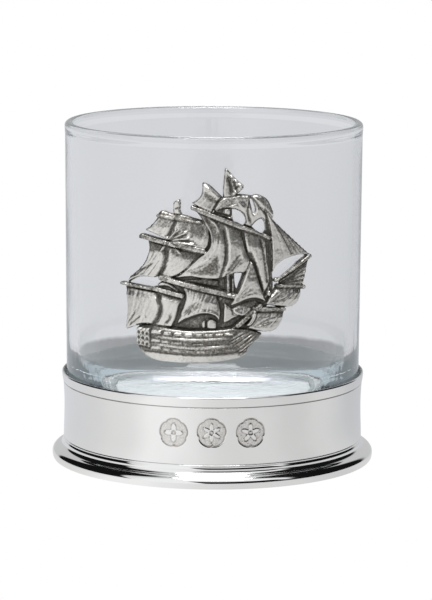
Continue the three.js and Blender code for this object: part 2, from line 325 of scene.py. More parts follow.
def polished_pewter():
    """Mirror-polished pewter with fine turning marks, faint smudges and grey stamped recesses.

    The bore is dull and painted dark grey as shade, up to the inner edge of the lip, where its radius reaches
    further out.
    """
    s = material_shader("polished_pewter")
    around = turned_place(s)
    lines = s.noise(around, 9000, 2)
    smudge = s.noise(s.place(), 60, 4)
    stamp_and_groove_grey = s.node("Attribute", attribute_name="patina_and_shade").outputs["Fac"]
    clean = s.colours(smudge, (0.3, (0.83, 0.835, 0.84)), (0.7, (0.87, 0.872, 0.875)))
    place = s.node("SeparateXYZ", (0, around)).outputs
    reach = s.between(place[2], 0.022, 0.024, 0.0411, 0.0416)
    bore = s.between(s.math("SUBTRACT", place[0], reach), 0.00004, -0.00004, 0.0, 1.0)
    polish = s.math("ADD", s.between(smudge, 0.35, 0.7, 0.045, 0.085), s.math("MULTIPLY", bore, 0.4))
    # Painted shade: the bore's pewter is given a dark grey colour, as if little light reached inside the
    # collar.
    metal = s.node("Mix", (0, bore), (6, clean), (7, (0.34, 0.345, 0.345, 1)), data_type="RGBA").outputs[2]
    colour = s.node("Mix", (0, stamp_and_groove_grey), (6, metal), (7, (0.42, 0.39, 0.355, 1)), data_type="RGBA")
    rough = s.math("ADD", polish, s.math("MULTIPLY", stamp_and_groove_grey, 0.32))
    bump = s.node("Bump", ("Strength", 0.05), ("Distance", 0.00002), ("Height", lines))
    body = s.node(
        "BsdfPrincipled", ("Base Color", colour.outputs[2]), ("Metallic", 1.0),
        ("Roughness", rough), ("Normal", bump.outputs[0]),
    )
    return s.finish(body.outputs[0])


def satin_pewter():
    """Unpolished turned pewter, with visible turning lines."""
    s = material_shader("satin_pewter")
    lines = s.noise(turned_place(s), 5000, 3)
    tone = s.colours(lines, (0.3, (0.90, 0.90, 0.895)), (0.7, (0.95, 0.95, 0.94)))
    bump = s.node("Bump", ("Strength", 0.3), ("Distance", 0.00005), ("Height", lines))
    body = s.node(
        "BsdfPrincipled", ("Base Color", tone), ("Metallic", 1.0),
        ("Roughness", s.between(lines, 0.3, 0.7, 0.5, 0.62)), ("Normal", bump.outputs[0]),
    )
    return s.finish(body.outputs[0])


def cast_pewter():
    """Cast pewter, rubbed bright on its high parts and dark with patina in its recesses and with painted
    shade under the yards.
    """
    s = material_shader("cast_pewter")
    # Patina in the hollows, and painted shade under the yards.
    patina_and_shade_amount = s.node("Attribute", attribute_name="patina_and_shade").outputs["Fac"]
    mottle = s.noise(s.place(), 3200, 3)
    cloud = s.noise(s.place(), 260, 3)
    blotch = s.math("ADD", s.between(mottle, 0.35, 0.7, -0.1, 0.14), s.between(cloud, 0.3, 0.7, -0.06, 0.08))
    uneven = s.math("ADD", patina_and_shade_amount, blotch, clamp=True)
    tone = s.colours(uneven, (0.0, (0.72, 0.71, 0.685)), (1.0, (0.12, 0.114, 0.104)),
                     (0.25, (0.56, 0.55, 0.525)), (0.6, (0.27, 0.26, 0.24)))
    bump = s.node("Bump", ("Strength", 0.35), ("Distance", 0.00004), ("Height", mottle))
    body = s.node(
        "BsdfPrincipled", ("Base Color", tone), ("Metallic", 1.0),
        ("Roughness", s.between(uneven, 0.0, 1.0, 0.3, 0.58)), ("Normal", bump.outputs[0]),
    )
    return s.finish(body.outputs[0])


def clear_bond():
    """Cured clear adhesive with a few trapped specks."""
    s = material_shader("clear_bond")
    specks = s.noise(s.place(), 900, 3)
    bump = s.node("Bump", ("Strength", 0.2), ("Distance", 0.0001), ("Height", specks))
    body = s.node(
        "BsdfPrincipled", ("Base Color", (0.95, 0.96, 0.94, 1)), ("Roughness", 0.12),
        ("IOR", 1.5), ("Transmission Weight", 1.0), ("Normal", bump.outputs[0]),
    )
    return s.finish(body.outputs[0])


# ---------------------------------------------------------------- pieces


def bead(radius, step, top):
    """The slight swelling of the wall under its fire-polished rim, from below."""
    shape = [(1.0, 1.0), (0.93, 0.81), (0.5, 0.52), (0.07, 0.22), (0.0, 0.0)]
    return curve_through([(radius + step * share, top - BEAD_DROP * drop) for share, drop in shape], 0.25)


def glass_body(material):
    heel_centre = GLASS_FOOT_RADIUS - HEEL
    rim_round = WALL / 2
    inner_top = RIM_RADIUS - WALL
    inner_bottom = GLASS_FOOT_RADIUS - WALL - WALL_DRAFT
    rim_low = RIM_HEIGHT - rim_round
    fillet_centre = inner_bottom - FILLET_WIDTH
    underside = curve_through(
        [(0, GLASS_BOTTOM + PUNT), (PUNT_RADIUS * 0.5, GLASS_BOTTOM + PUNT * 0.8),
         (PUNT_RADIUS, GLASS_BOTTOM + 0.02)], 2.0)
    heel = arc(heel_centre, GLASS_BOTTOM + HEEL, HEEL, -90, 0, 12)
    rim = arc(RIM_RADIUS - rim_round, rim_low, rim_round, 0, 180, 20)
    bead_out = bead(RIM_RADIUS, -OUTER_BEAD, rim_low)
    bead_in = bead(inner_top, INNER_BEAD, rim_low)[::-1]
    swept = np.radians(np.linspace(0, -87, 36))
    fillet = [
        (fillet_centre + FILLET_WIDTH * math.cos(a), FLOOR + FILLET_RISE * (1 + math.sin(a)))
        for a in swept
    ]
    floor = curve_through([fillet[-1], (fillet_centre * 0.5, FLOOR - 0.25), (0, FLOOR - 0.4)], 2.0)
    profile = (
        underside + straight((PUNT_RADIUS + 0.4, GLASS_BOTTOM), heel[0])
        + heel + straight(heel[-1], bead_out[0], 3.0)[1:]
        + bead_out[:-1] + rim + bead_in[1:] + straight(bead_in[-1], fillet[0], 3.0)[1:]
        + fillet + floor[1:]
    )
    piece = turned("glass_body", profile, closed=False)
    piece.data.materials.append(material)
    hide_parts("glass_tumbler")
    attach(piece, "root")
    return piece


def mark(u, w, petals, grain):
    """One stamped mark, at (u, w) from its centre: how deep it is and how grey.

    A lobed border goes round a slightly sunk ground, and a plain rosette stands in it.
    """
    distance, angle = np.hypot(u, w), np.arctan2(u, w)
    edge = MARK_RADIUS - 0.35 * (1 - np.abs(np.cos(2.5 * angle))) ** 2
    border = np.exp(-(((distance - edge + 0.15) / 0.17) ** 2))
    ground = np.clip((edge - distance) / 0.2, 0, 1)
    petal = 1.75 + 0.75 * np.cos(petals * angle)
    raised = np.clip((petal - distance) / 0.15 + 0.5, 0, 1) * np.clip((distance - 0.55) / 0.15, 0, 1)
    outline = np.exp(-(((distance - petal - 0.1) / 0.2) ** 2)) + np.exp(-(((distance - 0.5) / 0.18) ** 2))
    pit = np.exp(-((np.hypot(u - 0.2, w + 3.4) / 0.3) ** 2))
    sunk = ground * (1 - raised)
    depth = 0.1 * border + 0.06 * sunk + 0.07 * outline + 0.12 * pit + 0.02 * grain * sunk
    grey = 0.8 * border + 0.36 * sunk + 0.6 * outline + pit + 0.15 * grain * ground
    within = distance < MARK_RADIUS + 0.4
    return depth * within, np.clip(grey, 0, 1) * within


def stamped_marks(around, radii, heights):
    """For turned(): the three marks on the front of the collar, and a dark line along its groove."""
    grain = np.random.default_rng(5).normal(size=around.shape)
    from_front = (around + math.pi) % (2 * math.pi) - math.pi
    cut = np.zeros(around.shape)
    grey = np.exp(-(((heights - GROOVE_HEIGHT) / 0.09) ** 2))
    for angle, height, petals in MARKS:
        u = COLLAR_WAIST * (from_front - math.radians(angle))
        depth, tone = mark(u, heights - height, petals, grain)
        cut += depth
        grey += tone
    outside = radii > COLLAR_BORE + 0.2
    return cut * outside, grey * outside


# The turned groove: (radius, height above its middle).
GROOVE = [(41.5, -0.14), (41.42, -0.11), (41.26, -0.04), (41.26, 0.04), (41.47, 0.11), (41.54, 0.14)]


def collar(material):
    outer = curve_through(
        [(41.46, COLLAR_BOTTOM + 0.15), (41.38, 9.0), (COLLAR_WAIST + 0.03, 12.4),
         (COLLAR_WAIST, 16.3), (COLLAR_WAIST + 0.12, 19.2), (41.5, GROOVE_HEIGHT - 0.18)], 0.15)
    groove = [(radius, GROOVE_HEIGHT + up) for radius, up in GROOVE]
    lip = curve_through(
        [(41.56, GROOVE_HEIGHT + 0.16), (41.74, 22.6), (LIP_RADIUS, COLLAR_TOP - 0.55),
         (LIP_RADIUS - 0.05, COLLAR_TOP - 0.2), (LIP_RADIUS - 0.28, COLLAR_TOP),
         (LIP_RADIUS - 0.5, COLLAR_TOP - 0.03), (LIP_RADIUS - 0.66, COLLAR_TOP - 0.25),
         (COLLAR_BORE + 0.14, COLLAR_TOP - 2.2), (COLLAR_BORE + 0.02, COLLAR_TOP - 4.2)], 0.12)
    bore = straight((COLLAR_BORE, COLLAR_TOP - 4.5), (COLLAR_BORE, COLLAR_BOTTOM), 3.0)
    bottom = [(COLLAR_BORE, COLLAR_BOTTOM), (41.3, COLLAR_BOTTOM), (41.42, COLLAR_BOTTOM + 0.04)]
    front = np.radians(np.linspace(-MARKED_ARC, MARKED_ARC, 211))
    rest = np.radians(np.linspace(MARKED_ARC, 360 - MARKED_ARC, 240)[1:-1])
    angles = np.concatenate([front, rest])
    piece = turned("collar", outer + groove + lip + bore + bottom, angles, relief=stamped_marks)
    piece.data.materials.append(material)
    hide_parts("collar_band")
    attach(piece, "root")


def foot(material):
    outer = curve_through(
        [(44.3, 0.03), (44.43, 0.25), (44.54, 0.7), (FOOT_RADIUS, 1.3), (44.58, 1.7), (44.5, 2.05),
         (44.32, 2.4), (44.0, 2.75), (43.6, 3.02), (43.12, 3.22), (42.6, 3.42), (42.15, 3.68),
         (41.9, 3.95), (41.78, 4.2), (41.735, 4.4), (41.73, 4.65), (41.72, 4.85),
         (41.66, 5.08), (41.57, 5.3), (41.49, 5.45), (41.47, 5.62), (41.46, FOOT_TOP - 0.02)], 0.15)
    inside = [(40.9, FOOT_TOP), (COLLAR_BORE, FOOT_TOP - 0.1)]
    inside += straight((COLLAR_BORE, FOOT_TOP - 0.3), (COLLAR_BORE, 0.2), 0.8)
    underside = [(COLLAR_BORE, 0.15), (COLLAR_BORE + 0.05, 0.04), (40.95, 0.0), (42.2, 0.0), (44.15, 0.0)]
    piece = turned("foot", outer + inside + underside)
    piece.data.materials.append(material)
    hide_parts("foot_ring")
    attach(piece, "root")


def floor_plate(material):
    """The pewter disc let into the foot, which carries the glass."""
    radius, low, high = disc_high[0], disc_low[2], disc_high[2]
    edge = [(radius - 0.3, low), (radius - 0.1, low + 0.06), (radius, low + 0.25),
            (radius, high - 0.12), (radius - 0.1, high)]
    underside = straight((0, low), (radius - 0.3, low), 2.0)
    profile = underside + edge + straight((radius - 0.3, high), (0, high), 2.0) + [(0, high)]
    piece = turned("floor_plate", profile, closed=False)
    piece.data.materials.append(material)
    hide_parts("base_disc")
    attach(piece, "root")


def bond_ring(material):
    """The adhesive between the glass's bearing ring and the disc under it."""
    inner, outer = PUNT_RADIUS + 0.3, bond_high[0]
    low, high = bond_low[2], bond_high[2]
    piece = turned("bond_ring", rounded(
        [(inner, low, 0.1), (outer, low, 0.1), (outer, high, 0.1), (inner, high, 0.1)]))
    piece.data.materials.append(material)
    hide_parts("base_adhesive")
    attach(piece, "root")


def wrapped(u, v, proud):
    """Points u round the glass and v up, standing proud of its wall."""
    radius = glass_radius(v) + proud
    angle = u / WRAP_RADIUS
    return np.stack([radius * np.sin(angle), -radius * np.cos(angle), v], -1)


def bond_pad(material):
    """The pad of clear adhesive between the badge and the glass."""
    heights = np.linspace(36, 62, 40)
    left = np.interp(heights, [36, 38, 50, 54, 62], [-13, -16, -16.6, -8, -1.6])
    right = np.interp(heights, [36, 42, 50, 62], [3, 5.6, 4, 0.8])
    share = np.linspace(0, 1, 30)
    u = left[:, None] + (right - left)[:, None] * share
    v = np.broadcast_to(heights[:, None], u.shape)
    rows, columns = u.shape
    middle = 4 * share * (1 - share)
    front = wrapped(u, v, BADGE_GAP - 0.08 + 0.03 * np.minimum(1, 4 * middle)).reshape(-1, 3)
    back = wrapped(u, v, np.full(u.shape, 0.06)).reshape(-1, 3)
    number = np.arange(rows * columns).reshape(rows, columns)
    a, b, c, d = number[:-1, :-1], number[:-1, 1:], number[1:, 1:], number[1:, :-1]
    faces = np.stack([a, b, c, d], -1).reshape(-1, 4).tolist()
    behind = rows * columns
    faces += [[k + behind for k in reversed(face)] for face in faces]
    ring = list(number[0]) + list(number[1:, -1]) + list(number[-1, -2::-1]) + list(number[-2:0:-1, 0])
    for k, m in zip(ring, ring[1:] + ring[:1]):
        faces.append((int(m), int(k), int(k + behind), int(m + behind)))
    piece = new_object("bond_pad", np.concatenate([front, back]), faces)
    piece.data.materials.append(material)
    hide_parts("badge_adhesive")
    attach(piece, "root")


# ---------------------------------------------------------------- the ship's relief

# Across the ship, u is measured round the glass from its front, and v is the height above the table.
PITCH = 0.145  # of the grid
LEFT, RIGHT, LOW, HIGH = -26.8, 28.8, 33.0, 86.6


def nearest(u, v, line):
    """Distance from grid points to a polyline, and how far along it the nearest point is, 0 to 1."""
    best = np.full(u.shape, 1e9)
    along = np.zeros(u.shape)
    lengths = [math.dist(a, b) for a, b in zip(line, line[1:])]
    total, done = sum(lengths), 0.0
    for (ax, ay), (bx, by), length in zip(line, line[1:], lengths):
        dx, dy = bx - ax, by - ay
        t = np.clip(((u - ax) * dx + (v - ay) * dy) / length**2, 0, 1)
        distance = (u - ax - t * dx) ** 2 + (v - ay - t * dy) ** 2
        closer = distance < best
        best = np.where(closer, distance, best)
        along = np.where(closer, (done + t * length) / total, along)
        done += length
    return np.sqrt(best), along


def inside_distance(u, v, outline):
    """Distance from grid points to a closed outline, positive inside it."""
    ring = list(outline) + [outline[0]]
    crossed = np.zeros(u.shape, bool)
    for (ax, ay), (bx, by) in zip(ring, ring[1:]):
        if ay != by:
            spans = (ay > v) != (by > v)
            crossed ^= spans & (u < ax + (v - ay) * (bx - ax) / (by - ay))
    distance, _ = nearest(u, v, ring)
    return np.where(crossed, distance, -distance)


def blurred(field, size):
    """A Gaussian blur over a grid, size in millimetres."""
    reach = int(math.ceil(2.5 * size / PITCH))
    steps = np.arange(-reach, reach + 1)
    weights = np.exp(-0.5 * (steps * PITCH / size) ** 2)
    weights /= weights.sum()
    for axis in (0, 1):
        pad = [(0, 0), (0, 0)]
        pad[axis] = (reach, reach)
        wide = np.pad(field, pad, mode="edge")
        length = field.shape[axis]
        field = sum(w * np.take(wide, range(k, k + length), axis) for k, w in enumerate(weights))
    return field


class Relief:
    """The casting's face: its height above the back, and where it is dark, with patina and with painted
    shade.
    """

    def __init__(self):
        self.us = np.arange(LEFT, RIGHT, PITCH)
        self.vs = np.arange(LOW, HIGH, PITCH)
        self.u, self.v = np.meshgrid(self.us, self.vs)
        self.height = np.zeros(self.u.shape)
        # Patina in the hollows, and painted shade laid in under the yards.
        self.patina_and_shade = np.zeros(self.u.shape)
        self.inside = np.full(self.u.shape, -9.0)
        self.random = np.random.default_rng(7)

    def ripple(self, share, waves=(2.3, 4.1, 7.3, 11.9)):
        """A smooth irregular wave, between about -1 and 1, for a share of the way across something."""
        phases = self.random.uniform(0, 2 * math.pi, len(waves))
        total = sum(np.sin(2 * math.pi * n * share + phase) for n, phase in zip(waves, phases))
        return 1.6 * total / len(waves)

    def window(self, points):
        """The part of the grid within 2 mm of some points."""
        low = np.min(points, 0) - 2
        high = np.max(points, 0) + 2
        columns = slice(*np.searchsorted(self.us, (low[0], high[0])))
        rows = slice(*np.searchsorted(self.vs, (low[1], high[1])))
        return rows, columns

    def lay(self, part, inside, height, dark, groove):
        """Lays a shape over what is there, with a dark groove round it."""
        over = inside > 0
        beside = np.exp(-((np.minimum(inside, 0) / 0.32) ** 2))
        self.height[part] = np.where(over, height, self.height[part] - groove * beside)
        self.patina_and_shade[part] = np.where(over, dark, np.maximum(self.patina_and_shade[part], 0.85 * beside * (groove > 0)))
        self.inside[part] = np.maximum(self.inside[part], inside)

    def sail(self, head, right, foot, left, profile, crown=0.3, dark=0.0, top=0.5):
        """A sail between four edges. profile is (share of the way from head to foot, height).

        top is how much painted shade lies just under its yard, fading on the way down.
        """
        corners = [head[0], head[-1], right[-1], foot[-1]]
        sides = [head, [corners[1]] + right, [corners[2]] + foot, [corners[3]] + left + [corners[0]]]
        sides = [curve_through(side) for side in sides]
        outline = [p for side in sides for p in side[:-1]]
        part = self.window(outline)
        u, v = self.u[part], self.v[part]
        to_head, to_right, to_foot, to_left = (nearest(u, v, side)[0] for side in sides)
        down = to_head / (to_head + to_foot + 1e-6)
        across = to_left / (to_left + to_right + 1e-6)
        shares, heights = zip(*profile)
        ripple = self.ripple(across + 0.15 * down)
        height = np.interp(down, shares, heights) + crown * (4 * across * (1 - across) - 1) + 0.06 * ripple
        inside = inside_distance(u, v, outline)
        edge = np.clip(1 - inside / 0.45, 0, 1)
        # The top term is painted shade just under the yard.
        shade = dark + top * np.clip(1 - down / 0.42, 0, 1) + 0.1 * ripple
        self.lay(part, inside, height - 0.45 * edge**2, np.clip(shade, 0, 1), 0.35)

    def plate(self, outline, height, dark=0.0, edge=0.5, groove=0.35, smooth=True):
        """A flat shape with rounded edges."""
        ring = curve_through(list(outline) + [outline[0]])[:-1] if smooth else outline
        part = self.window(ring)
        inside = inside_distance(self.u[part], self.v[part], ring)
        rounding = np.clip(1 - inside / edge, 0, 1) ** 2
        self.lay(part, inside, height - 0.45 * rounding, dark, groove)

    def spar(self, start, end, width, height, lines=1, groove=0.35, dark=0.7):
        """A bar made of one or more thin round rods side by side, laid over what is there."""
        line = [start, end]
        part = self.window(line)
        u, v = self.u[part], self.v[part]
        distance, along = nearest(u, v, line)
        length = math.dist(start, end)
        side = ((v - start[1]) * (end[0] - start[0]) - (u - start[0]) * (end[1] - start[1])) / length
        step = width / lines
        from_rod = (side + width / 2) % step - step / 2
        rod = np.sqrt(np.clip(1 - (from_rod / (step / 2)) ** 2, 0, 1))
        tone = dark + 0.2 * self.ripple(along, (1.7, 3.9, 8.3)) + 0.9 * (1 - rod)
        self.lay(part, width / 2 - distance, height - 0.5 * step * (1 - rod), np.clip(tone, 0, 1), groove)

    def fold(self, points, width, depth, dark=0.9, ends=0.25):
        """A groove along a curve, fading at both ends."""
        line = curve_through(points)
        part = self.window(line)
        distance, along = nearest(self.u[part], self.v[part], line)
        fade = np.clip(np.minimum(along, 1 - along) / max(ends, 1e-3) + 0.35, 0, 1)
        cut = fade * np.exp(-((distance / (0.55 * width)) ** 2))
        self.height[part] -= depth * cut
        self.patina_and_shade[part] = np.maximum(self.patina_and_shade[part], dark * np.clip(1.3 * cut - 0.1, 0, 1))

    def ridge(self, points, width, height, clean=0.9):
        """A raised line along a curve, rubbed bright."""
        line = curve_through(points)
        part = self.window(line)
        distance, along = nearest(self.u[part], self.v[part], line)
        fade = np.clip(np.minimum(along, 1 - along) / 0.2, 0, 1)
        rise = fade * np.exp(-((distance / (0.55 * width)) ** 2))
        self.height[part] += height * rise
        self.patina_and_shade[part] *= 1 - clean * rise

    def wrinkles(self, root, tips, width, depth):
        """Creases that fan out from one point."""
        for tip in tips:
            self.fold([root, tip], width, depth, dark=0.6, ends=0.5)

    def dark_patch(self, outline, dark, soft, sink=0.0):
        """A dark patch with soft edges, sunk a little if asked."""
        ring = curve_through(list(outline) + [outline[0]])[:-1]
        part = self.window(ring)
        inside = inside_distance(self.u[part], self.v[part], ring)
        amount = np.clip(inside / soft + 0.5, 0, 1)
        self.patina_and_shade[part] = np.maximum(self.patina_and_shade[part], dark * amount)
        self.height[part] -= sink * amount

    def gap(self, outline):
        """An opening right through the casting."""
        ring = curve_through(list(outline) + [outline[0]], 0.3)[:-1]
        part = self.window(ring)
        inside = inside_distance(self.u[part], self.v[part], ring)
        self.inside[part] = np.minimum(self.inside[part], -inside)
        self.height[part] -= 0.5 * np.exp(-((np.maximum(-inside, 0) / 0.3) ** 2))


def backing(relief):
    """The sunk ground between the masts."""
    relief.plate([(-10.5, 42), (10.4, 42), (12.6, 46.4), (15.6, 50), (16.4, 54), (15.9, 60), (15.4, 67),
                  (14.6, 73), (10.5, 78), (4, 77), (0, 74), (-3, 66), (-9, 57), (-16, 52)], 0.9, dark=0.85)


def mizzen_mast(relief):
    relief.plate([(-10.6, 72.6), (-10.8, 74.6), (-10.7, 76.4), (-10, 76.9), (-9.1, 77.2), (-8.8, 75.8),
                  (-8.9, 74.4), (-8.4, 72.8)], 1.4)
    relief.fold([(-10.4, 74.6), (-9.2, 75.2)], 0.5, 0.3)
    relief.sail(
        head=[(-15, 73.2), (-14, 74.1), (-12.4, 73.8), (-10.6, 73.3), (-8, 73.2), (-5.4, 72.5), (-2.6, 71.8)],
        right=[(-1.2, 69), (-1.4, 65.4), (-2.6, 63.8)],
        foot=[(-7, 65), (-11, 65.9), (-13.4, 67), (-16, 68), (-18.7, 68.8)],
        left=[(-17.2, 69.8), (-16.2, 70.8), (-15.3, 72)],
        profile=[(0, 1.05), (0.1, 1.45), (0.6, 1.95), (0.85, 2.0), (0.93, 2.3), (1, 2.1)])
    relief.spar((-14.9, 72.7), (-3.4, 71.3), 0.9, 1.75, groove=0.2)
    relief.fold([(-9.8, 72.4), (-10.8, 70), (-12, 67.2)], 0.8, 0.5)
    relief.dark_patch([(-14.8, 71.9), (-11.2, 71.6), (-12, 69.6), (-15.4, 70.2)], 0.55, 0.8)
    relief.dark_patch([(-9.2, 71.4), (-3, 70.6), (-1.6, 67.4), (-4, 67.2), (-8.6, 69.2)], 0.6, 0.9)
    relief.wrinkles((-11.8, 66.1), [(-8.2, 68.6), (-7.6, 67.4), (-7.4, 66.6)], 0.6, 0.25)
    relief.dark_patch([(-11, 66), (-8, 65.9), (-5.8, 65.2), (-6.6, 64.6), (-10, 65)], 0.95, 0.4, 0.2)


def lashing(start, end):
    """One of the ropes and creases that fan out from the middle of the mizzen yard."""
    return [start, ((end[0] - 12) / 2, (end[1] + 66.2) / 2), end]


def mizzen_topsail(relief):
    relief.sail(
        head=[(-17.9, 66), (-12, 64.8), (-3, 62.8)],
        right=[(-4.4, 62.0), (-6.4, 59.6), (-8.8, 57.6), (-11.4, 56)],
        foot=[(-14, 56.7), (-16, 56.2), (-19, 56.3), (-21.4, 55.7), (-24, 54.3)],
        left=[(-23.2, 55.9), (-21.2, 57.6), (-19.6, 59.1), (-18.5, 60.8), (-17.9, 62.4), (-17.6, 64)],
        profile=[(0, 0.9), (0.3, 1.45), (0.5, 1.65), (0.9, 1.7), (0.96, 1.95), (1, 1.85)])
    relief.fold([(-12.4, 64.4), (-12.8, 61), (-13.8, 58), (-15.6, 55.4)], 1.0, 0.55)
    relief.fold([(-20.5, 57.9), (-18.4, 58.8), (-16.4, 60.2)], 0.5, 0.2, dark=0.7)
    relief.dark_patch([(-17.4, 65.4), (-13, 64.4), (-12.4, 62.6), (-15, 63.2), (-17.2, 63)], 0.8, 0.8)
    relief.dark_patch([(-11.4, 64.2), (-4, 62.6), (-5.4, 61.4), (-8, 61.6), (-11, 62.8)], 0.8, 0.7)
    relief.spar((-19.4, 67.1), (-2.6, 63.7), 1.35, 2.2, lines=3)
    for end in [(-6.2, 69.2), (-5.2, 67.4), (-4.2, 65.4), (-9.4, 69.6), (-8.4, 62.6), (-14.4, 63.2)]:
        relief.ridge(lashing((-12, 66.4), end), 0.55, 0.45, clean=0.95)
    for end in [(-6.4, 68.3), (-5, 66.4), (-8.2, 69.4), (-6.4, 63.4), (-13.2, 62.8)]:
        relief.fold(lashing((-12, 66.3), end), 0.5, 0.3)
    relief.plate(
        [(-15.2, 54.4), (-13.6, 55.4), (-11.6, 54.8), (-9.4, 53.0), (-9.6, 52.2), (-14.6, 53.2)], 1.5)
    relief.fold([(-14.6, 53.6), (-12, 53.8), (-9.6, 52.4)], 0.8, 0.4)
    relief.plate([(-14.6, 56), (-14, 57), (-13.2, 56.6), (-13.4, 55.6)], 2.2, groove=0.2)


def mizzen_course(relief):
    relief.sail(
        head=[(-24.9, 53.4), (-20, 52.9), (-14.6, 52.4), (-8.2, 51.4)],
        right=[(-8.2, 50.4), (-9, 49.2), (-9.8, 46), (-11, 43.2)],
        foot=[(-14, 43), (-18, 43.7), (-20.8, 43), (-24.7, 41.6)],
        left=[(-24.4, 43.6), (-24, 46.5), (-24.2, 50)],
        profile=[(0, 0.9), (0.08, 1.2), (0.2, 1.95), (0.3, 2.0), (0.8, 2.0), (1, 1.9)], crown=0.35)
    relief.fold([(-14.9, 52), (-14, 49), (-14.2, 47), (-15, 45.2), (-16.2, 43.6)], 1.0, 0.6, ends=0.1)
    relief.fold([(-23.9, 43.2), (-21, 47.2)], 0.4, 0.16, 0.7)
    relief.fold([(-23.3, 42.9), (-19.6, 46)], 0.4, 0.16, 0.7)
    relief.fold([(-12.9, 44), (-11.6, 45.2), (-11, 46.8)], 0.6, 0.25)
    relief.fold([(-18.3, 45.7), (-18.1, 45.7)], 0.6, 0.3, ends=0.01)
    relief.ridge([(-24.6, 52.9), (-20, 52.4), (-15.2, 51.8)], 1.0, 0.3, clean=1.0)
    relief.spar((-25.7, 54), (-14.6, 53), 0.9, 2.0, lines=2, groove=0.3)
    relief.spar((-15.6, 53.3), (-8.2, 51.7), 1.3, 2.2, lines=3, groove=0.3)


def main_course(relief):
    relief.sail(
        head=[(-8.6, 54.8), (-4, 53.6), (0, 52.4), (3, 51.6)],
        right=[(1.8, 49.6), (2.2, 47.4), (1.4, 44.2)],
        foot=[(1, 46), (-0.6, 47), (-2.8, 47.1), (-4.6, 46.6), (-7, 45.6), (-9.6, 44)],
        left=[(-8.4, 47.4), (-7.5, 50), (-7.4, 52)],
        profile=[(0, 1.4), (0.2, 1.8), (0.45, 2.2), (0.8, 2.25), (0.92, 2.5), (1, 2.3)], crown=0.4)
    relief.wrinkles((-8.2, 46.6), [(-4.2, 50.2), (-3.6, 49)], 0.8, 0.3)
    relief.dark_patch([(-6.6, 47.6), (-3.6, 50.8), (-2.2, 50), (-4.4, 47.8)], 0.55, 1.0)
    relief.fold([(1.2, 52), (1.9, 49.6), (2.3, 47.4), (2.1, 44)], 1.1, 0.7, ends=0.1)
    relief.plate([(2.9, 50), (4.6, 48.8), (7.2, 46.9), (5.4, 45.8), (2.9, 44.6), (2.7, 47)], 1.6)
    relief.plate([(-1.6, 43.2), (-1.6, 45), (-0.4, 45.6), (0.9, 44.8), (0.9, 43.2), (-0.2, 42.8)], 1.9)
    relief.plate([(-3, 43.2), (-3, 44.9), (-2, 45.2), (-2, 43.2)], 1.5)


def main_topsail(relief):
    relief.sail(
        head=[(-4.9, 74.6), (0, 72.6), (4, 71), (8, 69.6)],
        right=[(8.4, 65), (9.6, 63), (10.6, 61), (9.6, 59), (8, 57.7)],
        foot=[(4, 57.2), (1.6, 56.4), (-2, 56.2), (-6, 56.8), (-11.4, 56)],
        left=[(-8.8, 57.4), (-6.4, 59.4), (-4, 61.8), (-2.2, 63.2), (-0.9, 65), (-0.7, 67), (-1.3, 69.4),
              (-2.8, 71.8)],
        profile=[(0, 1.1), (0.25, 1.7), (0.4, 1.95), (0.85, 2.05), (1, 1.8)], crown=0.35)
    relief.ridge([(-4.4, 73.9), (-2, 71), (-0.7, 68.6), (-0.4, 66), (-1.2, 63.9), (-3.4, 62.1), (-6.6, 59.2),
                  (-10.6, 56.6)], 0.5, 0.35)
    relief.fold([(2.6, 70.4), (3.2, 67), (3.4, 64), (3.2, 61), (2.4, 58.4), (1.6, 56)], 1.0, 0.6, ends=0.1)
    relief.fold([(7.6, 69), (8.4, 65.6), (9.2, 63)], 1.0, 0.6, ends=0.1)
    relief.dark_patch([(1.2, 63), (-2.4, 59.4), (-5.6, 57.8), (-2, 57.4), (1.4, 58)], 0.85, 0.9, 0.12)
    relief.ridge([(-6, 58.4), (-2.8, 60.6), (0.2, 62)], 0.5, 0.2)
    relief.wrinkles((-7.8, 57.8), [(-1, 60.6), (-0.4, 59)], 0.6, 0.2)
    relief.fold([(3.4, 58.2), (5, 60.2), (6.8, 62.8)], 0.55, 0.25)
    relief.fold([(4.2, 58), (5.8, 59.8), (7.4, 62)], 0.5, 0.2)
    relief.dark_patch([(3.6, 58.4), (5, 61.4), (7, 62.6), (6, 59.6), (4.6, 57.8)], 0.6, 0.6)
    relief.dark_patch([(-3.4, 73), (1.8, 71), (2.2, 67), (0.4, 67), (-0.8, 69.6)], 0.75, 0.6, 0.1)
    relief.ridge([(-1.4, 72.3), (0.8, 70.6), (1.4, 68.4)], 0.5, 0.25)
    relief.dark_patch([(3.4, 70.2), (7.4, 68.8), (7.6, 66.4), (5.2, 67.6)], 0.55, 0.8)
    relief.sail(
        head=[(-12.8, 56.2), (-8, 55.9), (-3, 56.3), (1.4, 56)], right=[(1.6, 54)],
        foot=[(-4, 54.8), (-9, 55.4)], left=[], profile=[(0, 1.5), (1, 1.1)], dark=0.9, crown=0.1)
    relief.spar((-14, 56.3), (5.8, 51.7), 1.4, 2.3, lines=3)


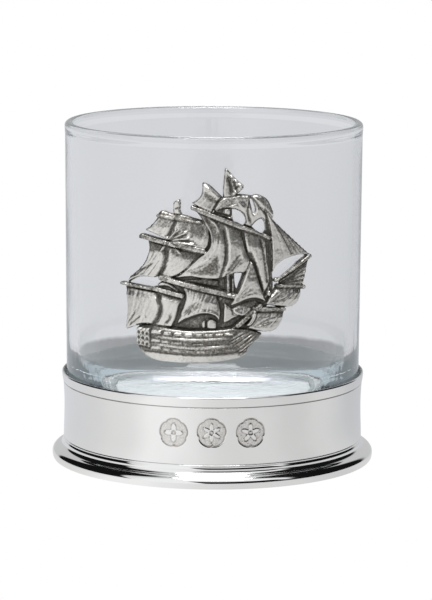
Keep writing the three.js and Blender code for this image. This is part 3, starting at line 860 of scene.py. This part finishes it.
def main_topgallant(relief):
    relief.sail(
        head=[(-3, 81.6), (-2.6, 81.8), (-0.8, 81), (2.4, 78)],
        right=[(1, 76.6), (-0.4, 73.6)], foot=[(-3, 74.8), (-5.8, 76.4)],
        left=[(-4.4, 77.2), (-3.4, 78.4), (-3, 80)],
        profile=[(0, 1.2), (0.15, 1.7), (0.3, 1.5), (0.75, 1.75), (1, 1.9)], crown=0.15)
    relief.ridge([(-2.2, 81), (-0.4, 79.6), (1.4, 77.8)], 0.7, 0.35)
    relief.dark_patch([(-2.4, 79.6), (0.6, 77.6), (0.2, 76.4), (-2.4, 77.8)], 0.7, 0.6)
    relief.sail(
        head=[(-0.2, 74.6), (1.2, 77), (2.8, 78.3), (5, 78.8), (8, 78.7), (10.4, 78.3)],
        right=[(12.2, 76), (14, 73), (14.6, 70), (13.6, 68.2)], foot=[(9, 70.2), (4, 72.2)], left=[],
        profile=[(0, 1.0), (0.1, 1.55), (0.45, 1.75), (0.9, 1.3), (1, 1.3)], crown=0.1)
    relief.wrinkles((0.6, 74.4), [(4.6, 78), (7, 77), (5.4, 76.4)], 0.6, 0.25)
    relief.dark_patch([(0.6, 75), (3, 77.4), (6.4, 77), (4.6, 75.6)], 0.55, 0.8)
    relief.fold([(9.6, 77.4), (9, 74), (10, 71)], 0.7, 0.35)
    relief.fold([(13.9, 72.6), (14.8, 69), (15.4, 66)], 0.8, 0.4)
    relief.plate([(1.4, 73.6), (1.2, 74.6), (4.6, 75.2), (4.6, 72.8)], 0.9, dark=0.9, groove=0)
    relief.plate([(2.7, 73.6), (2.9, 74.9), (4.4, 74.8), (4.2, 73.2)], 1.3, groove=0.2)
    relief.spar((-5.4, 75.2), (15, 67), 1.25, 2.3, lines=3)
    relief.plate([(2.5, 78), (2.5, 80.4), (2.8, 83.4), (3.1, 85.6), (4.2, 84.8), (5.4, 83.4), (6.6, 82.2),
                  (8, 81), (7.4, 79.9), (5.4, 78.4)], 1.6)
    relief.fold([(4.6, 78.6), (4.5, 81), (3.6, 84)], 1.0, 0.6)
    relief.fold([(6.4, 79.4), (5.6, 81), (5, 83)], 0.7, 0.4)
    relief.fold([(5.4, 80), (6.8, 81.2)], 0.5, 0.3)
    for u, v in [(4.7, 83.2), (5.8, 82.2), (6.9, 81.1), (7.3, 80.4), (5.7, 79.4)]:
        relief.ridge([(u - 0.45, v - 0.1), (u, v + 0.2), (u + 0.45, v - 0.2)], 0.7, 0.6, clean=1.0)


def fore_mast(relief):
    relief.sail(
        head=[(8, 69.2), (12, 67.8), (14.2, 66.6)], right=[(14.3, 62), (15, 58), (15.4, 52.4)],
        foot=[(14.2, 50.8), (13.4, 50.4)],
        left=[(12.6, 53.6), (11.4, 57.2), (10.2, 60.6), (8.8, 64), (8.2, 67)],
        profile=[(0, 1.3), (0.2, 1.9), (0.8, 1.9), (1, 1.6)], crown=0.3)
    relief.fold([(12.4, 67), (13.2, 64), (13.8, 60), (14.6, 55)], 0.8, 0.45, ends=0.1)
    relief.fold([(9.4, 63.6), (10.8, 60.2), (12.2, 56), (13.4, 52)], 1.3, 0.7, ends=0.1)
    relief.fold([(14.6, 71), (15.4, 67), (15.7, 62), (15.6, 57)], 1.1, 0.8, ends=0.1)
    relief.dark_patch([(8.6, 68.4), (11.6, 67.2), (11, 65), (9.2, 66)], 0.5, 0.8)
    relief.sail(
        head=[(9.9, 78.2), (11.6, 78.6), (13.4, 78), (14.8, 76.9), (15.8, 75)],
        right=[(16.2, 73.4), (16, 71.6)], foot=[(13.6, 74), (11.6, 76.4)], left=[],
        profile=[(0, 1.0), (0.15, 1.5), (0.7, 1.9), (1, 1.7)], crown=0.1)
    relief.dark_patch([(13, 77.4), (15, 75.6), (15.6, 73.6), (14, 74.4), (12.6, 76.2)], 0.6, 0.6)
    relief.spar((5.4, 57.4), (5.2, 52.6), 0.8, 1.3, groove=0.3)
    relief.spar((3.9, 57.2), (4, 53), 1.1, 1.5, groove=0.3)
    relief.sail(
        head=[(9.9, 61), (10.7, 60.4)], right=[(11.4, 58), (12.3, 55), (13.4, 52), (14.4, 49.8)],
        foot=[(12.6, 50.6), (10.8, 51.1), (8.6, 50.7), (6.6, 49.9), (4.3, 49)],
        left=[(5.6, 51.2), (6.7, 53.4), (8, 56.6)],
        profile=[(0, 1.7), (0.5, 2.2), (0.9, 2.3), (1, 2.0)], crown=0.3)
    relief.wrinkles((5.2, 49.7), [(10.2, 54), (9.2, 54.6), (9.6, 52.6)], 0.5, 0.2)
    relief.sail(
        head=[(5, 48.6), (8, 49.9), (11, 50.4), (13.6, 49.8)], right=[(12.4, 47.8)],
        foot=[(10.6, 46.6), (7.4, 46.4), (5.4, 47.4)], left=[],
        profile=[(0, 0.9), (0.4, 1.4), (1, 1.7)], crown=0.2)
    relief.dark_patch([(6, 49), (9, 50.2), (12.6, 49.8), (10, 48.6)], 0.9, 0.6)


def head_sails(relief):
    relief.sail(
        head=[(13.6, 74.8), (16, 72)], right=[(18, 70), (21, 67.3), (24.2, 64.5), (27.9, 61.4)],
        foot=[(25, 61.9), (22, 61.7), (19.6, 61.1), (18, 60.2), (16.6, 58.8), (15.9, 56.6)],
        left=[(15.9, 62), (15.6, 67), (14.9, 71)],
        profile=[(0, 1.3), (0.5, 1.6), (1, 1.8)], crown=0.2, top=0.1)
    relief.dark_patch([(16.2, 71.8), (18, 70), (21, 67.3), (24.2, 64.5), (27.4, 61.8), (24.6, 62.3), (21.6, 62.3)],
                 0.45, 0.3, 0.1)
    relief.spar((17, 55.6), (27.4, 61.4), 1.1, 1.9, lines=3, groove=0)
    relief.sail(
        head=[(18.2, 55.4), (27.6, 60.6)], right=[(27, 59), (26.4, 56.6), (25.4, 53.4)],
        foot=[(22, 53.4), (18.4, 53.6)], left=[],
        profile=[(0, 1.0), (0.4, 1.4), (1, 1.5)], crown=0.1, dark=0.3)
    for tip in [(27, 59.4), (26.7, 58), (26.3, 56.6), (25.8, 55.2)]:
        relief.fold([(18.6, 54.6), tip], 0.55, 0.35, ends=0.05)
    relief.spar((17.6, 54), (25.4, 53.2), 1.2, 2.0, lines=2)
    relief.sail(
        head=[(17, 53.6), (25.1, 53)], right=[(24.6, 51), (23.6, 49.4), (22.2, 48.3)],
        foot=[(19.6, 48.2), (14.2, 49.2)], left=[(15.4, 51.4)],
        profile=[(0, 1.1), (0.25, 1.6), (0.6, 1.9), (1, 1.8)], crown=0.2)
    relief.wrinkles((14.9, 49.5), [(19.6, 52), (18.6, 52.2), (20, 50.8)], 0.5, 0.22)
    relief.spar((11, 48.1), (19.3, 47.6), 1.3, 2.1, lines=2)
    relief.sail(
        head=[(11.6, 47.4), (19.8, 47.1)], right=[(19, 44.8), (18, 43.2), (17, 42.3)],
        foot=[(15.6, 41.9), (13.2, 42), (11, 42.4), (9, 43)], left=[(10.6, 45)],
        profile=[(0, 1.1), (0.3, 1.7), (0.8, 1.9), (1, 1.7)], crown=0.2)
    relief.wrinkles((11.2, 43.6), [(15.4, 45.8), (16.4, 44.8)], 0.5, 0.2)
    relief.spar((5.4, 42.8), (12.6, 49), 1.3, 2.2, lines=2, dark=0.9)
    for k in range(9):
        u, v = 6 + 0.75 * k, 43.3 + 0.65 * k
        relief.fold([(u - 0.4, v + 0.5), (u + 0.4, v - 0.5)], 0.3, 0.25, ends=0.01)
    relief.plate(
        [(8.4, 43.8), (9.4, 44.8), (10.4, 46.6), (11, 47.9), (11.6, 47), (11, 45.2), (9.8, 43.8)],
        2.3, dark=0.35)
    relief.plate([(14, 52), (14.6, 53.2), (15.4, 52.6), (15, 51.4)], 2.4)
    relief.fold([(13.4, 50.6), (15.2, 54.8), (17.4, 56)], 0.7, 0.5)
    relief.fold([(15.6, 51.6), (18, 54.4)], 0.7, 0.5)


PLANK_ROWS = [(41.45, 1.0, 0.55), (39.4, 0.65, 0.75), (37.5, 0.75, 0.85)]  # height, tall, sag
WALES = [(42.85, 0.55), (40.8, 0.65), (38.75, 0.8)]  # height, sag
BOW_STROKES = [((8.4, 42.2), (4.4, 40.1)), ((10.2, 42.1), (5.3, 39)), ((11.2, 41.8), (6.1, 38.1)),
               ((11, 40.7), (6.5, 37.2)), ((9.8, 39.2), (7.1, 36.9))]  # top and foot
PLANKS_START, PLANKS_END = -16.4, 3.6


def hull_line(start, end, sag):
    """A line along the hull that sags in the middle."""
    middle = ((start[0] + end[0]) / 2, (start[1] + end[1]) / 2 - sag)
    return curve_through([start, middle, end])


def hull_body(relief):
    outline = curve_through(
        [(-20.7, 43.2), (-20.7, 40), (-20.6, 38.2), (-20, 36.9), (-18.4, 35.3), (-16.2, 34.2), (-13.4, 33.7),
         (-8, 33.6), (0, 34), (5.6, 34.8), (8.4, 35.9), (9.8, 38.2), (12, 40.3), (13.3, 41.6)])
    outline += [(9.2, 42.9), (5, 43.3), (2, 42.9), (-6, 42.5), (-13.4, 43.2), (-17.2, 43.6)]
    part = relief.window(outline)
    u, v = relief.u[part], relief.v[part]
    inside = inside_distance(u, v, outline)
    belly = 2.75 - 0.035 * (v - 38.6) ** 2 - 0.0028 * (u + 5) ** 2
    edge = np.clip(1 - inside / 0.5, 0, 1) ** 2
    keel = hull_line((-18.9, 36.5), (9.6, 37.0), 0.75)
    above = v > np.interp(u, [p[0] for p in keel], [p[1] for p in keel])
    relief.lay(part, inside, belly - 0.45 * edge, np.where(above, 0.85, 0.08), 0.4)
    relief.fold(keel, 0.45, 0.3, ends=0.02)


def planking(relief):
    """Rows of short planks along the side, lower and darker towards the bow."""
    for height, tall, sag in PLANK_ROWS:
        u0 = PLANKS_START
        while u0 < PLANKS_END:
            long = relief.random.uniform(1.5, 2.9)
            forward = np.clip((u0 + 8) / 8, 0, 1)
            high = tall * (1 - 0.35 * forward)
            v0 = height - sag * (1 - ((u0 + 0.5 * long + 5.4) / 11.4) ** 2)
            plank = [(u0, v0), (u0 + long, v0), (u0 + long, v0 + high), (u0, v0 + high)]
            shade = relief.random.uniform(0.2, 0.55) + 0.3 * forward
            relief.plate(plank, 2.72, dark=shade, edge=0.2, groove=0, smooth=False)
            u0 += long + relief.random.uniform(0.35, 0.8)
    for height, sag in WALES:
        relief.ridge(hull_line((-16.8, height), (6, height), sag), 0.4, 0.35, clean=0.75)


def bow(relief):
    """Slanting strokes on the bow, each one doubled."""
    for (top_u, top_v), (foot_u, foot_v) in BOW_STROKES:
        for lower in (0, 0.75):
            clean = relief.random.uniform(0.1, 0.55)
            relief.ridge([(top_u + 0.2 * lower, top_v - lower), (foot_u, foot_v - lower)], 0.35, 0.25, clean)
            relief.fold([(top_u, top_v - 0.4 - lower), (foot_u, foot_v - 0.4 - lower)], 0.4, 0.3, ends=0.1)


def stern_gallery(relief):
    """A panel with a lattice of large diamonds, and small ones between them."""
    relief.plate([(-20.7, 42.8), (-20.6, 38), (-16.9, 37.6), (-16.9, 42.6)], 2.6, edge=0.4, smooth=False)
    for rows, columns, left, low, wide, tall, dark, soft, sink in [
        (3, 3, -19.9, 38.7, 0.42, 0.6, 1.0, 0.22, 0.35),
        (4, 2, -19.3, 38.0, 0.25, 0.3, 0.9, 0.2, 0.2),
    ]:
        for row in range(rows):
            for column in range(columns):
                u, v = left + 1.2 * column, low + 1.4 * row - 0.15 * column
                relief.dark_patch([(u, v - tall), (u + wide, v), (u, v + tall), (u - wide, v)], dark, soft, sink)


def openings(relief):
    relief.gap([(-22.3, 54.6), (-21, 55.3), (-18.8, 55.7), (-16.8, 55.6), (-15.9, 55), (-16.8, 54.2),
                (-19.6, 54.2)])
    relief.gap([(4.9, 74.9), (6, 74.7), (7.4, 73.9), (8.4, 72.6), (8.5, 71.2), (7.8, 70.6), (6.6, 71.2),
                (5.2, 72)])
    relief.gap([(9.5, 77.6), (10.4, 77.2), (11.2, 74.8), (10.9, 73.7), (10.4, 74)])
    relief.gap([(10.2, 70.2), (11, 71.1), (12, 71.9), (13, 72.1), (13.8, 71.1), (14.1, 69.6), (13.7, 68.6),
                (13, 68.3), (11.6, 69)])
    relief.gap([(5.6, 57.8), (7.6, 57.8), (7.4, 56.4), (6.8, 55), (6.3, 53.7), (5.8, 55)])
    relief.gap([(25.3, 61.5), (23.6, 61.3), (22, 60.9), (20, 59.9), (18.6, 58.7), (17.4, 57.3), (17.2, 56.3),
                (18.4, 56.3), (20.8, 57.8), (23, 59.4)])


SHIP_PARTS = [
    backing, mizzen_mast, mizzen_topsail, mizzen_course, main_course, main_topsail, main_topgallant,
    fore_mast, head_sails, hull_body, planking, bow, stern_gallery, openings,
]


def cast_relief():
    """The whole ship, laid down from back to front, then made uneven like a casting."""
    relief = Relief()
    for add_part in SHIP_PARTS:
        add_part(relief)
    grain = np.random.default_rng(11).normal(size=relief.u.shape)
    relief.height += 0.06 * blurred(grain, 0.2) + 0.15 * blurred(grain, 0.7)
    relief.height = np.clip(blurred(relief.height, 0.1), 0.6, 2.95)
    known = blurred((relief.inside > 0).astype(float), 0.9) + 1e-3
    around = blurred(np.where(relief.inside > 0, relief.height, 0), 0.9) / known
    shade = blurred(relief.patina_and_shade, 0.12) + 0.8 * (around - relief.height - 0.12) + 0.45 * blurred(grain, 0.12)
    relief.patina_and_shade = np.clip(shade, 0, 1)
    return relief


# The two corners of a grid cell on each of its sides, by the step to the cell on that side.
CELL_SIDES = {
    (0, -1): ((1, 0), (0, 0)),
    (0, 1): ((0, 1), (1, 1)),
    (-1, 0): ((0, 0), (0, 1)),
    (1, 0): ((1, 1), (1, 0)),
}
BLOCK = 3  # the back is flat, so whole blocks of 3 by 3 cells share one face there


def chosen_cells(inside):
    """Grid cells that belong to the casting, with no two touching only at a corner."""
    node = inside > -0.45 * PITCH
    cells = node[:-1, :-1] & node[1:, :-1] & node[:-1, 1:] & node[1:, 1:]
    for _ in range(4):
        a, b = cells[:-1, :-1], cells[1:, 1:]
        c, d = cells[1:, :-1], cells[:-1, 1:]
        lone = (a & b & ~c & ~d) | (c & d & ~a & ~b)
        cells[:-1, :-1] |= lone
        cells[1:, :-1] |= lone
    return cells


def outline_nodes(cells):
    """Grid nodes on the edge of the chosen cells, and all the nodes of those cells."""
    padded = np.pad(cells, 1)
    around = [padded[:-1, :-1], padded[1:, :-1], padded[:-1, 1:], padded[1:, 1:]]
    count = sum(a.astype(int) for a in around)
    return (count > 0) & (count < 4), count > 0


def smooth_outline(relief, edge):
    """The grid, with the nodes on the casting's edge moved onto its true outline."""
    grad_v, grad_u = np.gradient(relief.inside, PITCH)
    steep = np.maximum(grad_u**2 + grad_v**2, 0.3)
    move = np.where(edge, np.clip(-relief.inside / steep, -0.8 * PITCH, 0.8 * PITCH), 0)
    return relief.u + move * grad_u, relief.v + move * grad_v


def block_side(nodes, shared):
    """A side of a block on the ship's back. It needs only its corner where two blocks share it."""
    return nodes[:1] if shared else nodes


def back_rings(cells):
    """The faces of the ship's back, as rings of grid nodes."""
    block_rows, block_columns = cells.shape[0] // BLOCK, cells.shape[1] // BLOCK
    in_blocks = (slice(0, block_rows * BLOCK), slice(0, block_columns * BLOCK))
    whole = cells[in_blocks].reshape(block_rows, BLOCK, block_columns, BLOCK).all((1, 3))
    padded = np.pad(whole, 1)
    rings = []
    for j, i in np.argwhere(whole):
        y, x, far_y, far_x = BLOCK * j, BLOCK * i, BLOCK * (j + 1), BLOCK * (i + 1)
        ring = block_side([(y, x + k) for k in range(BLOCK)], padded[j, i + 1])
        ring += block_side([(y + k, far_x) for k in range(BLOCK)], padded[j + 1, i + 2])
        ring += block_side([(far_y, far_x - k) for k in range(BLOCK)], padded[j + 2, i + 1])
        ring += block_side([(far_y - k, x) for k in range(BLOCK)], padded[j + 1, i])
        rings.append(ring[::-1])
    covered = np.zeros_like(cells)
    covered[in_blocks] = np.repeat(np.repeat(whole, BLOCK, 0), BLOCK, 1)
    for j, i in np.argwhere(cells & ~covered):
        rings.append([(j + 1, i), (j + 1, i + 1), (j, i + 1), (j, i)])
    return rings


def numbered(used, first):
    """A grid of vertex numbers for the used nodes, counting from first."""
    numbers = np.full(used.shape, -1)
    numbers[used] = first + np.arange(used.sum())
    return numbers


def ship(material):
    relief = cast_relief()
    cells = chosen_cells(relief.inside)
    edge, used = outline_nodes(cells)
    u, v = smooth_outline(relief, edge)

    front = numbered(used, 0)
    faces = [(front[j, i], front[j, i + 1], front[j + 1, i + 1], front[j + 1, i])
             for j, i in np.argwhere(cells)]

    rings = back_rings(cells)
    back_used = np.zeros_like(used)
    for ring in rings:
        for node in ring:
            back_used[node] = True
    back = numbered(back_used, used.sum())
    faces += [tuple(back[node] for node in ring) for ring in rings]

    # Side walls between the two.
    padded = np.pad(cells, 1)
    for (dj, di), ((aj, ai), (bj, bi)) in CELL_SIDES.items():
        open_side = cells & ~padded[1 + dj:1 + dj + cells.shape[0], 1 + di:1 + di + cells.shape[1]]
        for j, i in np.argwhere(open_side):
            a, b = (j + aj, i + ai), (j + bj, i + bi)
            faces.append((front[b], front[a], back[a], back[b]))

    vertices = np.concatenate([
        wrapped(u[used], v[used], BADGE_GAP + relief.height[used]),
        wrapped(u[back_used], v[back_used], BADGE_GAP),
    ])
    patina_and_shade = np.concatenate([relief.patina_and_shade[used], np.full(back_used.sum(), 0.3)])
    piece = new_object("ship", vertices, [tuple(int(k) for k in face) for face in faces], patina_and_shade)
    piece.data.set_sharp_from_angle(angle=math.radians(65))
    piece.data.materials.append(material)
    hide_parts("ship_badge")
    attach(piece, "root")


# ---------------------------------------------------------------- stage, light and camera


def azimuth(shader, x, y):
    """Degrees round the object from its front, positive to the right."""
    return shader.math("DEGREES", shader.math("ARCTAN2", x, shader.math("MULTIPLY", y, -1.0)))


def band(shader, value, low, high, soft):
    """1 between low and high and 0 outside, with soft ends."""
    rise = shader.node(
        "MapRange", ("Value", value), ("From Min", low - soft), ("From Max", low + soft),
        interpolation_type="SMOOTHSTEP",
    ).outputs[0]
    fall = shader.node(
        "MapRange", ("Value", value), ("From Min", high - soft), ("From Max", high + soft),
        ("To Min", 1.0), ("To Max", 0.0), interpolation_type="SMOOTHSTEP",
    ).outputs[0]
    return shader.math("MULTIPLY", rise, fall)


def seen_white(shader, colour):
    """Pure white to the camera itself, and the given colour in reflections and through glass."""
    direct = shader.node("LightPath").outputs["Is Camera Ray"]
    return shader.node("Mix", (0, direct), (6, colour), (7, (1, 1, 1, 1)), data_type="RGBA").outputs[2]


# How bright the floor is round the object: (degrees from the front, brightness).
FLOOR_BRIGHTNESS = [
    (-180, 0.65), (-134, 0.72), (-82, 0.75), (-69, 0.79), (-56, 0.83), (-45, 0.92), (-35, 0.99),
    (-16, 0.92), (0, 0.80), (12, 0.75), (31, 0.75), (55, 0.69), (73, 0.735), (92, 0.69), (113, 0.62),
    (180, 0.65),
]


# The object's soft shadow, painted on the floor: its centre, its edge from dark to clear, in metres, and how
# much light is left in it.
PAINTED_SHADOW_CENTRE = (0, 0.028, 0)
PAINTED_SHADOW_EDGE = (0.094, 0.106)
PAINTED_SHADOW_LIGHT = 0.4
FLOOR_SIZE = 30  # half its width, in metres


def stage_floor():
    """A plain pale floor that gives off its own light, brightest on the left front and a little blue and grey
    behind.

    A painted soft shadow of the object reaches behind it, and shows only through the glass.
    """
    s = material_shader("studio_floor")
    parts = s.node("SeparateXYZ", (0, s.place())).outputs
    round_it = azimuth(s, parts[0], parts[1])
    shade = s.node("MapRange", ("Value", round_it), ("From Min", -180.0), ("From Max", 180.0)).outputs[0]
    grey = s.curve(shade, FLOOR_BRIGHTNESS)
    behind = s.math("ABSOLUTE", s.math("SUBTRACT", shade, 0.5))
    tint = s.colours(behind, (0.2, (1.0, 0.995, 0.985)), (0.4, (0.985, 1.0, 1.045)))
    through = s.node("LightPath").outputs["Is Transmission Ray"]
    # Painted shadow: the floor's light is dimmed in a disc behind the object, for rays through the glass.
    away = s.node("VectorMath", (0, s.place()), (1, PAINTED_SHADOW_CENTRE), operation="DISTANCE").outputs["Value"]
    painted_shadow = s.math("MULTIPLY", through, s.between(away, *PAINTED_SHADOW_EDGE, 1.0, 0.0))
    grey = s.math("MULTIPLY", grey, s.between(painted_shadow, 0.0, 1.0, 1.0, PAINTED_SHADOW_LIGHT))
    colour = s.node("VectorMath", (0, tint), ("Scale", grey), operation="SCALE").outputs[0]
    glow = s.node("Emission", ("Color", seen_white(s, colour)), ("Strength", 1.0))
    mesh = bpy.data.meshes.new("studio_floor")
    corners = [(-1, -1, 0), (1, -1, 0), (1, 1, 0), (-1, 1, 0)]
    mesh.from_pydata([Vector(c) * FLOOR_SIZE for c in corners], [], [(0, 1, 2, 3)])
    mesh.materials.append(s.finish(glow.outputs[0]))
    floor = bpy.data.objects.new("studio_floor", mesh)
    floor.location.z = -0.0001
    bpy.context.scene.collection.objects.link(floor)


# The tent's dark parts: how far they lean as they go up, then where each begins and ends and how soft
# its edges are, in degrees, first round the object and then up.
DARK_PARTS = [
    (0.4, (-5, 62, 2), (-20, 34, 3)),  # a gap low in front
    (0.4, (-140, -60, 3), (-20, 70, 5)),  # the left side
    (-0.4, (50, 136, 6), (-20, 76, 6)),  # the right side
]
DARK = (0.012, 0.012, 0.013)
# The tent seen through the glass, and its top, which brightens between two heights, in degrees.
# A seam across the top is half as bright.
TENT_GREY = (0.70, 0.71, 0.735, 1)
TENT_LIGHT = (1.8, 1.74, 1.8, 1)
TENT_TOP = (26, 66)
TENT_SEAM = (38, 50)


def studio():
    """A white tent with dark sides and a dark gap low in front."""
    s = Shader(bpy.data.worlds.new("studio"))
    bpy.context.scene.world = s.owner
    direction = s.node("SeparateXYZ", (0, s.node("TexCoord").outputs["Generated"])).outputs
    round_it = azimuth(s, direction[0], direction[1])
    up = s.math("DEGREES", s.math("ARCSINE", direction[2]))
    dark = 0.0
    for lean, sides, heights in DARK_PARTS:
        leaning = s.math("ADD", round_it, s.math("MULTIPLY", up, lean))
        dark = s.math("MAXIMUM", dark, s.math("MULTIPLY", band(s, leaning, *sides), band(s, up, *heights)))
    tone = s.colours(dark, (0.0, (1.0, 1.0, 1.0)), (1.0, DARK))
    beside = s.between(s.math("ABSOLUTE", round_it), 50, 80, 1.0, 0.6)
    tone = s.node("VectorMath", (0, tone), ("Scale", beside), operation="SCALE").outputs[0]
    seam = s.math("MULTIPLY", band(s, up, *TENT_SEAM, 4), 0.5)
    overhead = s.math("SUBTRACT", s.between(up, *TENT_TOP, 0.0, 1.0), seam)
    behind = s.node("Mix", (0, overhead), (6, TENT_GREY), (7, TENT_LIGHT), data_type="RGBA").outputs[2]
    through = s.node("LightPath").outputs["Is Transmission Ray"]
    tone = s.node("Mix", (0, through), (6, tone), (7, behind), data_type="RGBA").outputs[2]
    glow = s.node("Background", ("Color", seen_white(s, tone)), ("Strength", 1.0))
    s.node("OutputWorld", ("Surface", glow.outputs[0]))


LIGHT_ELEVATION = 80
LIGHT_DISTANCE = 0.9
LIGHT_SIZE = 0.5
LIGHT_POWER = 5.5


def top_light():
    """A soft light above the glass, a little in front of it."""
    light = bpy.data.lights.new("top", "AREA")
    light.size = LIGHT_SIZE
    light.energy = LIGHT_POWER
    lamp = bpy.data.objects.new("top", light)
    elevation = math.radians(LIGHT_ELEVATION)
    direction = Vector((0, -math.cos(elevation), math.sin(elevation)))
    lamp.location = direction * LIGHT_DISTANCE + Vector((0, 0, 0.05))
    lamp.rotation_euler = direction.to_track_quat("Z", "Y").to_euler()
    lamp.visible_camera = False
    bpy.context.scene.collection.objects.link(lamp)


CAMERA_PLACE = (0, -0.83103, 0.18289)
CAMERA_TARGET = (0.00082, 0, 0.04366)
CAMERA_ROLL = 0.0055
CAMERA_LENS = 182.2


def camera():
    data = bpy.data.cameras.new("camera")
    data.lens = CAMERA_LENS
    data.clip_end = 50
    made = bpy.data.objects.new("camera", data)
    place = Vector(CAMERA_PLACE)
    back = (place - Vector(CAMERA_TARGET)).normalized()
    turn = back.to_track_quat("Z", "Y").to_matrix().to_4x4() @ Matrix.Rotation(CAMERA_ROLL, 4, "Z")
    made.matrix_world = Matrix.Translation(place) @ turn
    bpy.context.scene.collection.objects.link(made)
    bpy.context.scene.camera = made


# ---------------------------------------------------------------- the object

pewter = polished_pewter()
bond = clear_bond()

tumbler = glass_body(glass_material())
tumbler.visible_shadow = False  # clear glass, so light from above reaches what is under it
collar(pewter)
foot(pewter)
floor_plate(satin_pewter())
bond_ring(bond)
bond_pad(bond)
ship(cast_pewter())

stage_floor()
studio()
top_light()
camera()
bpy.context.scene.view_settings.view_transform = "Standard"
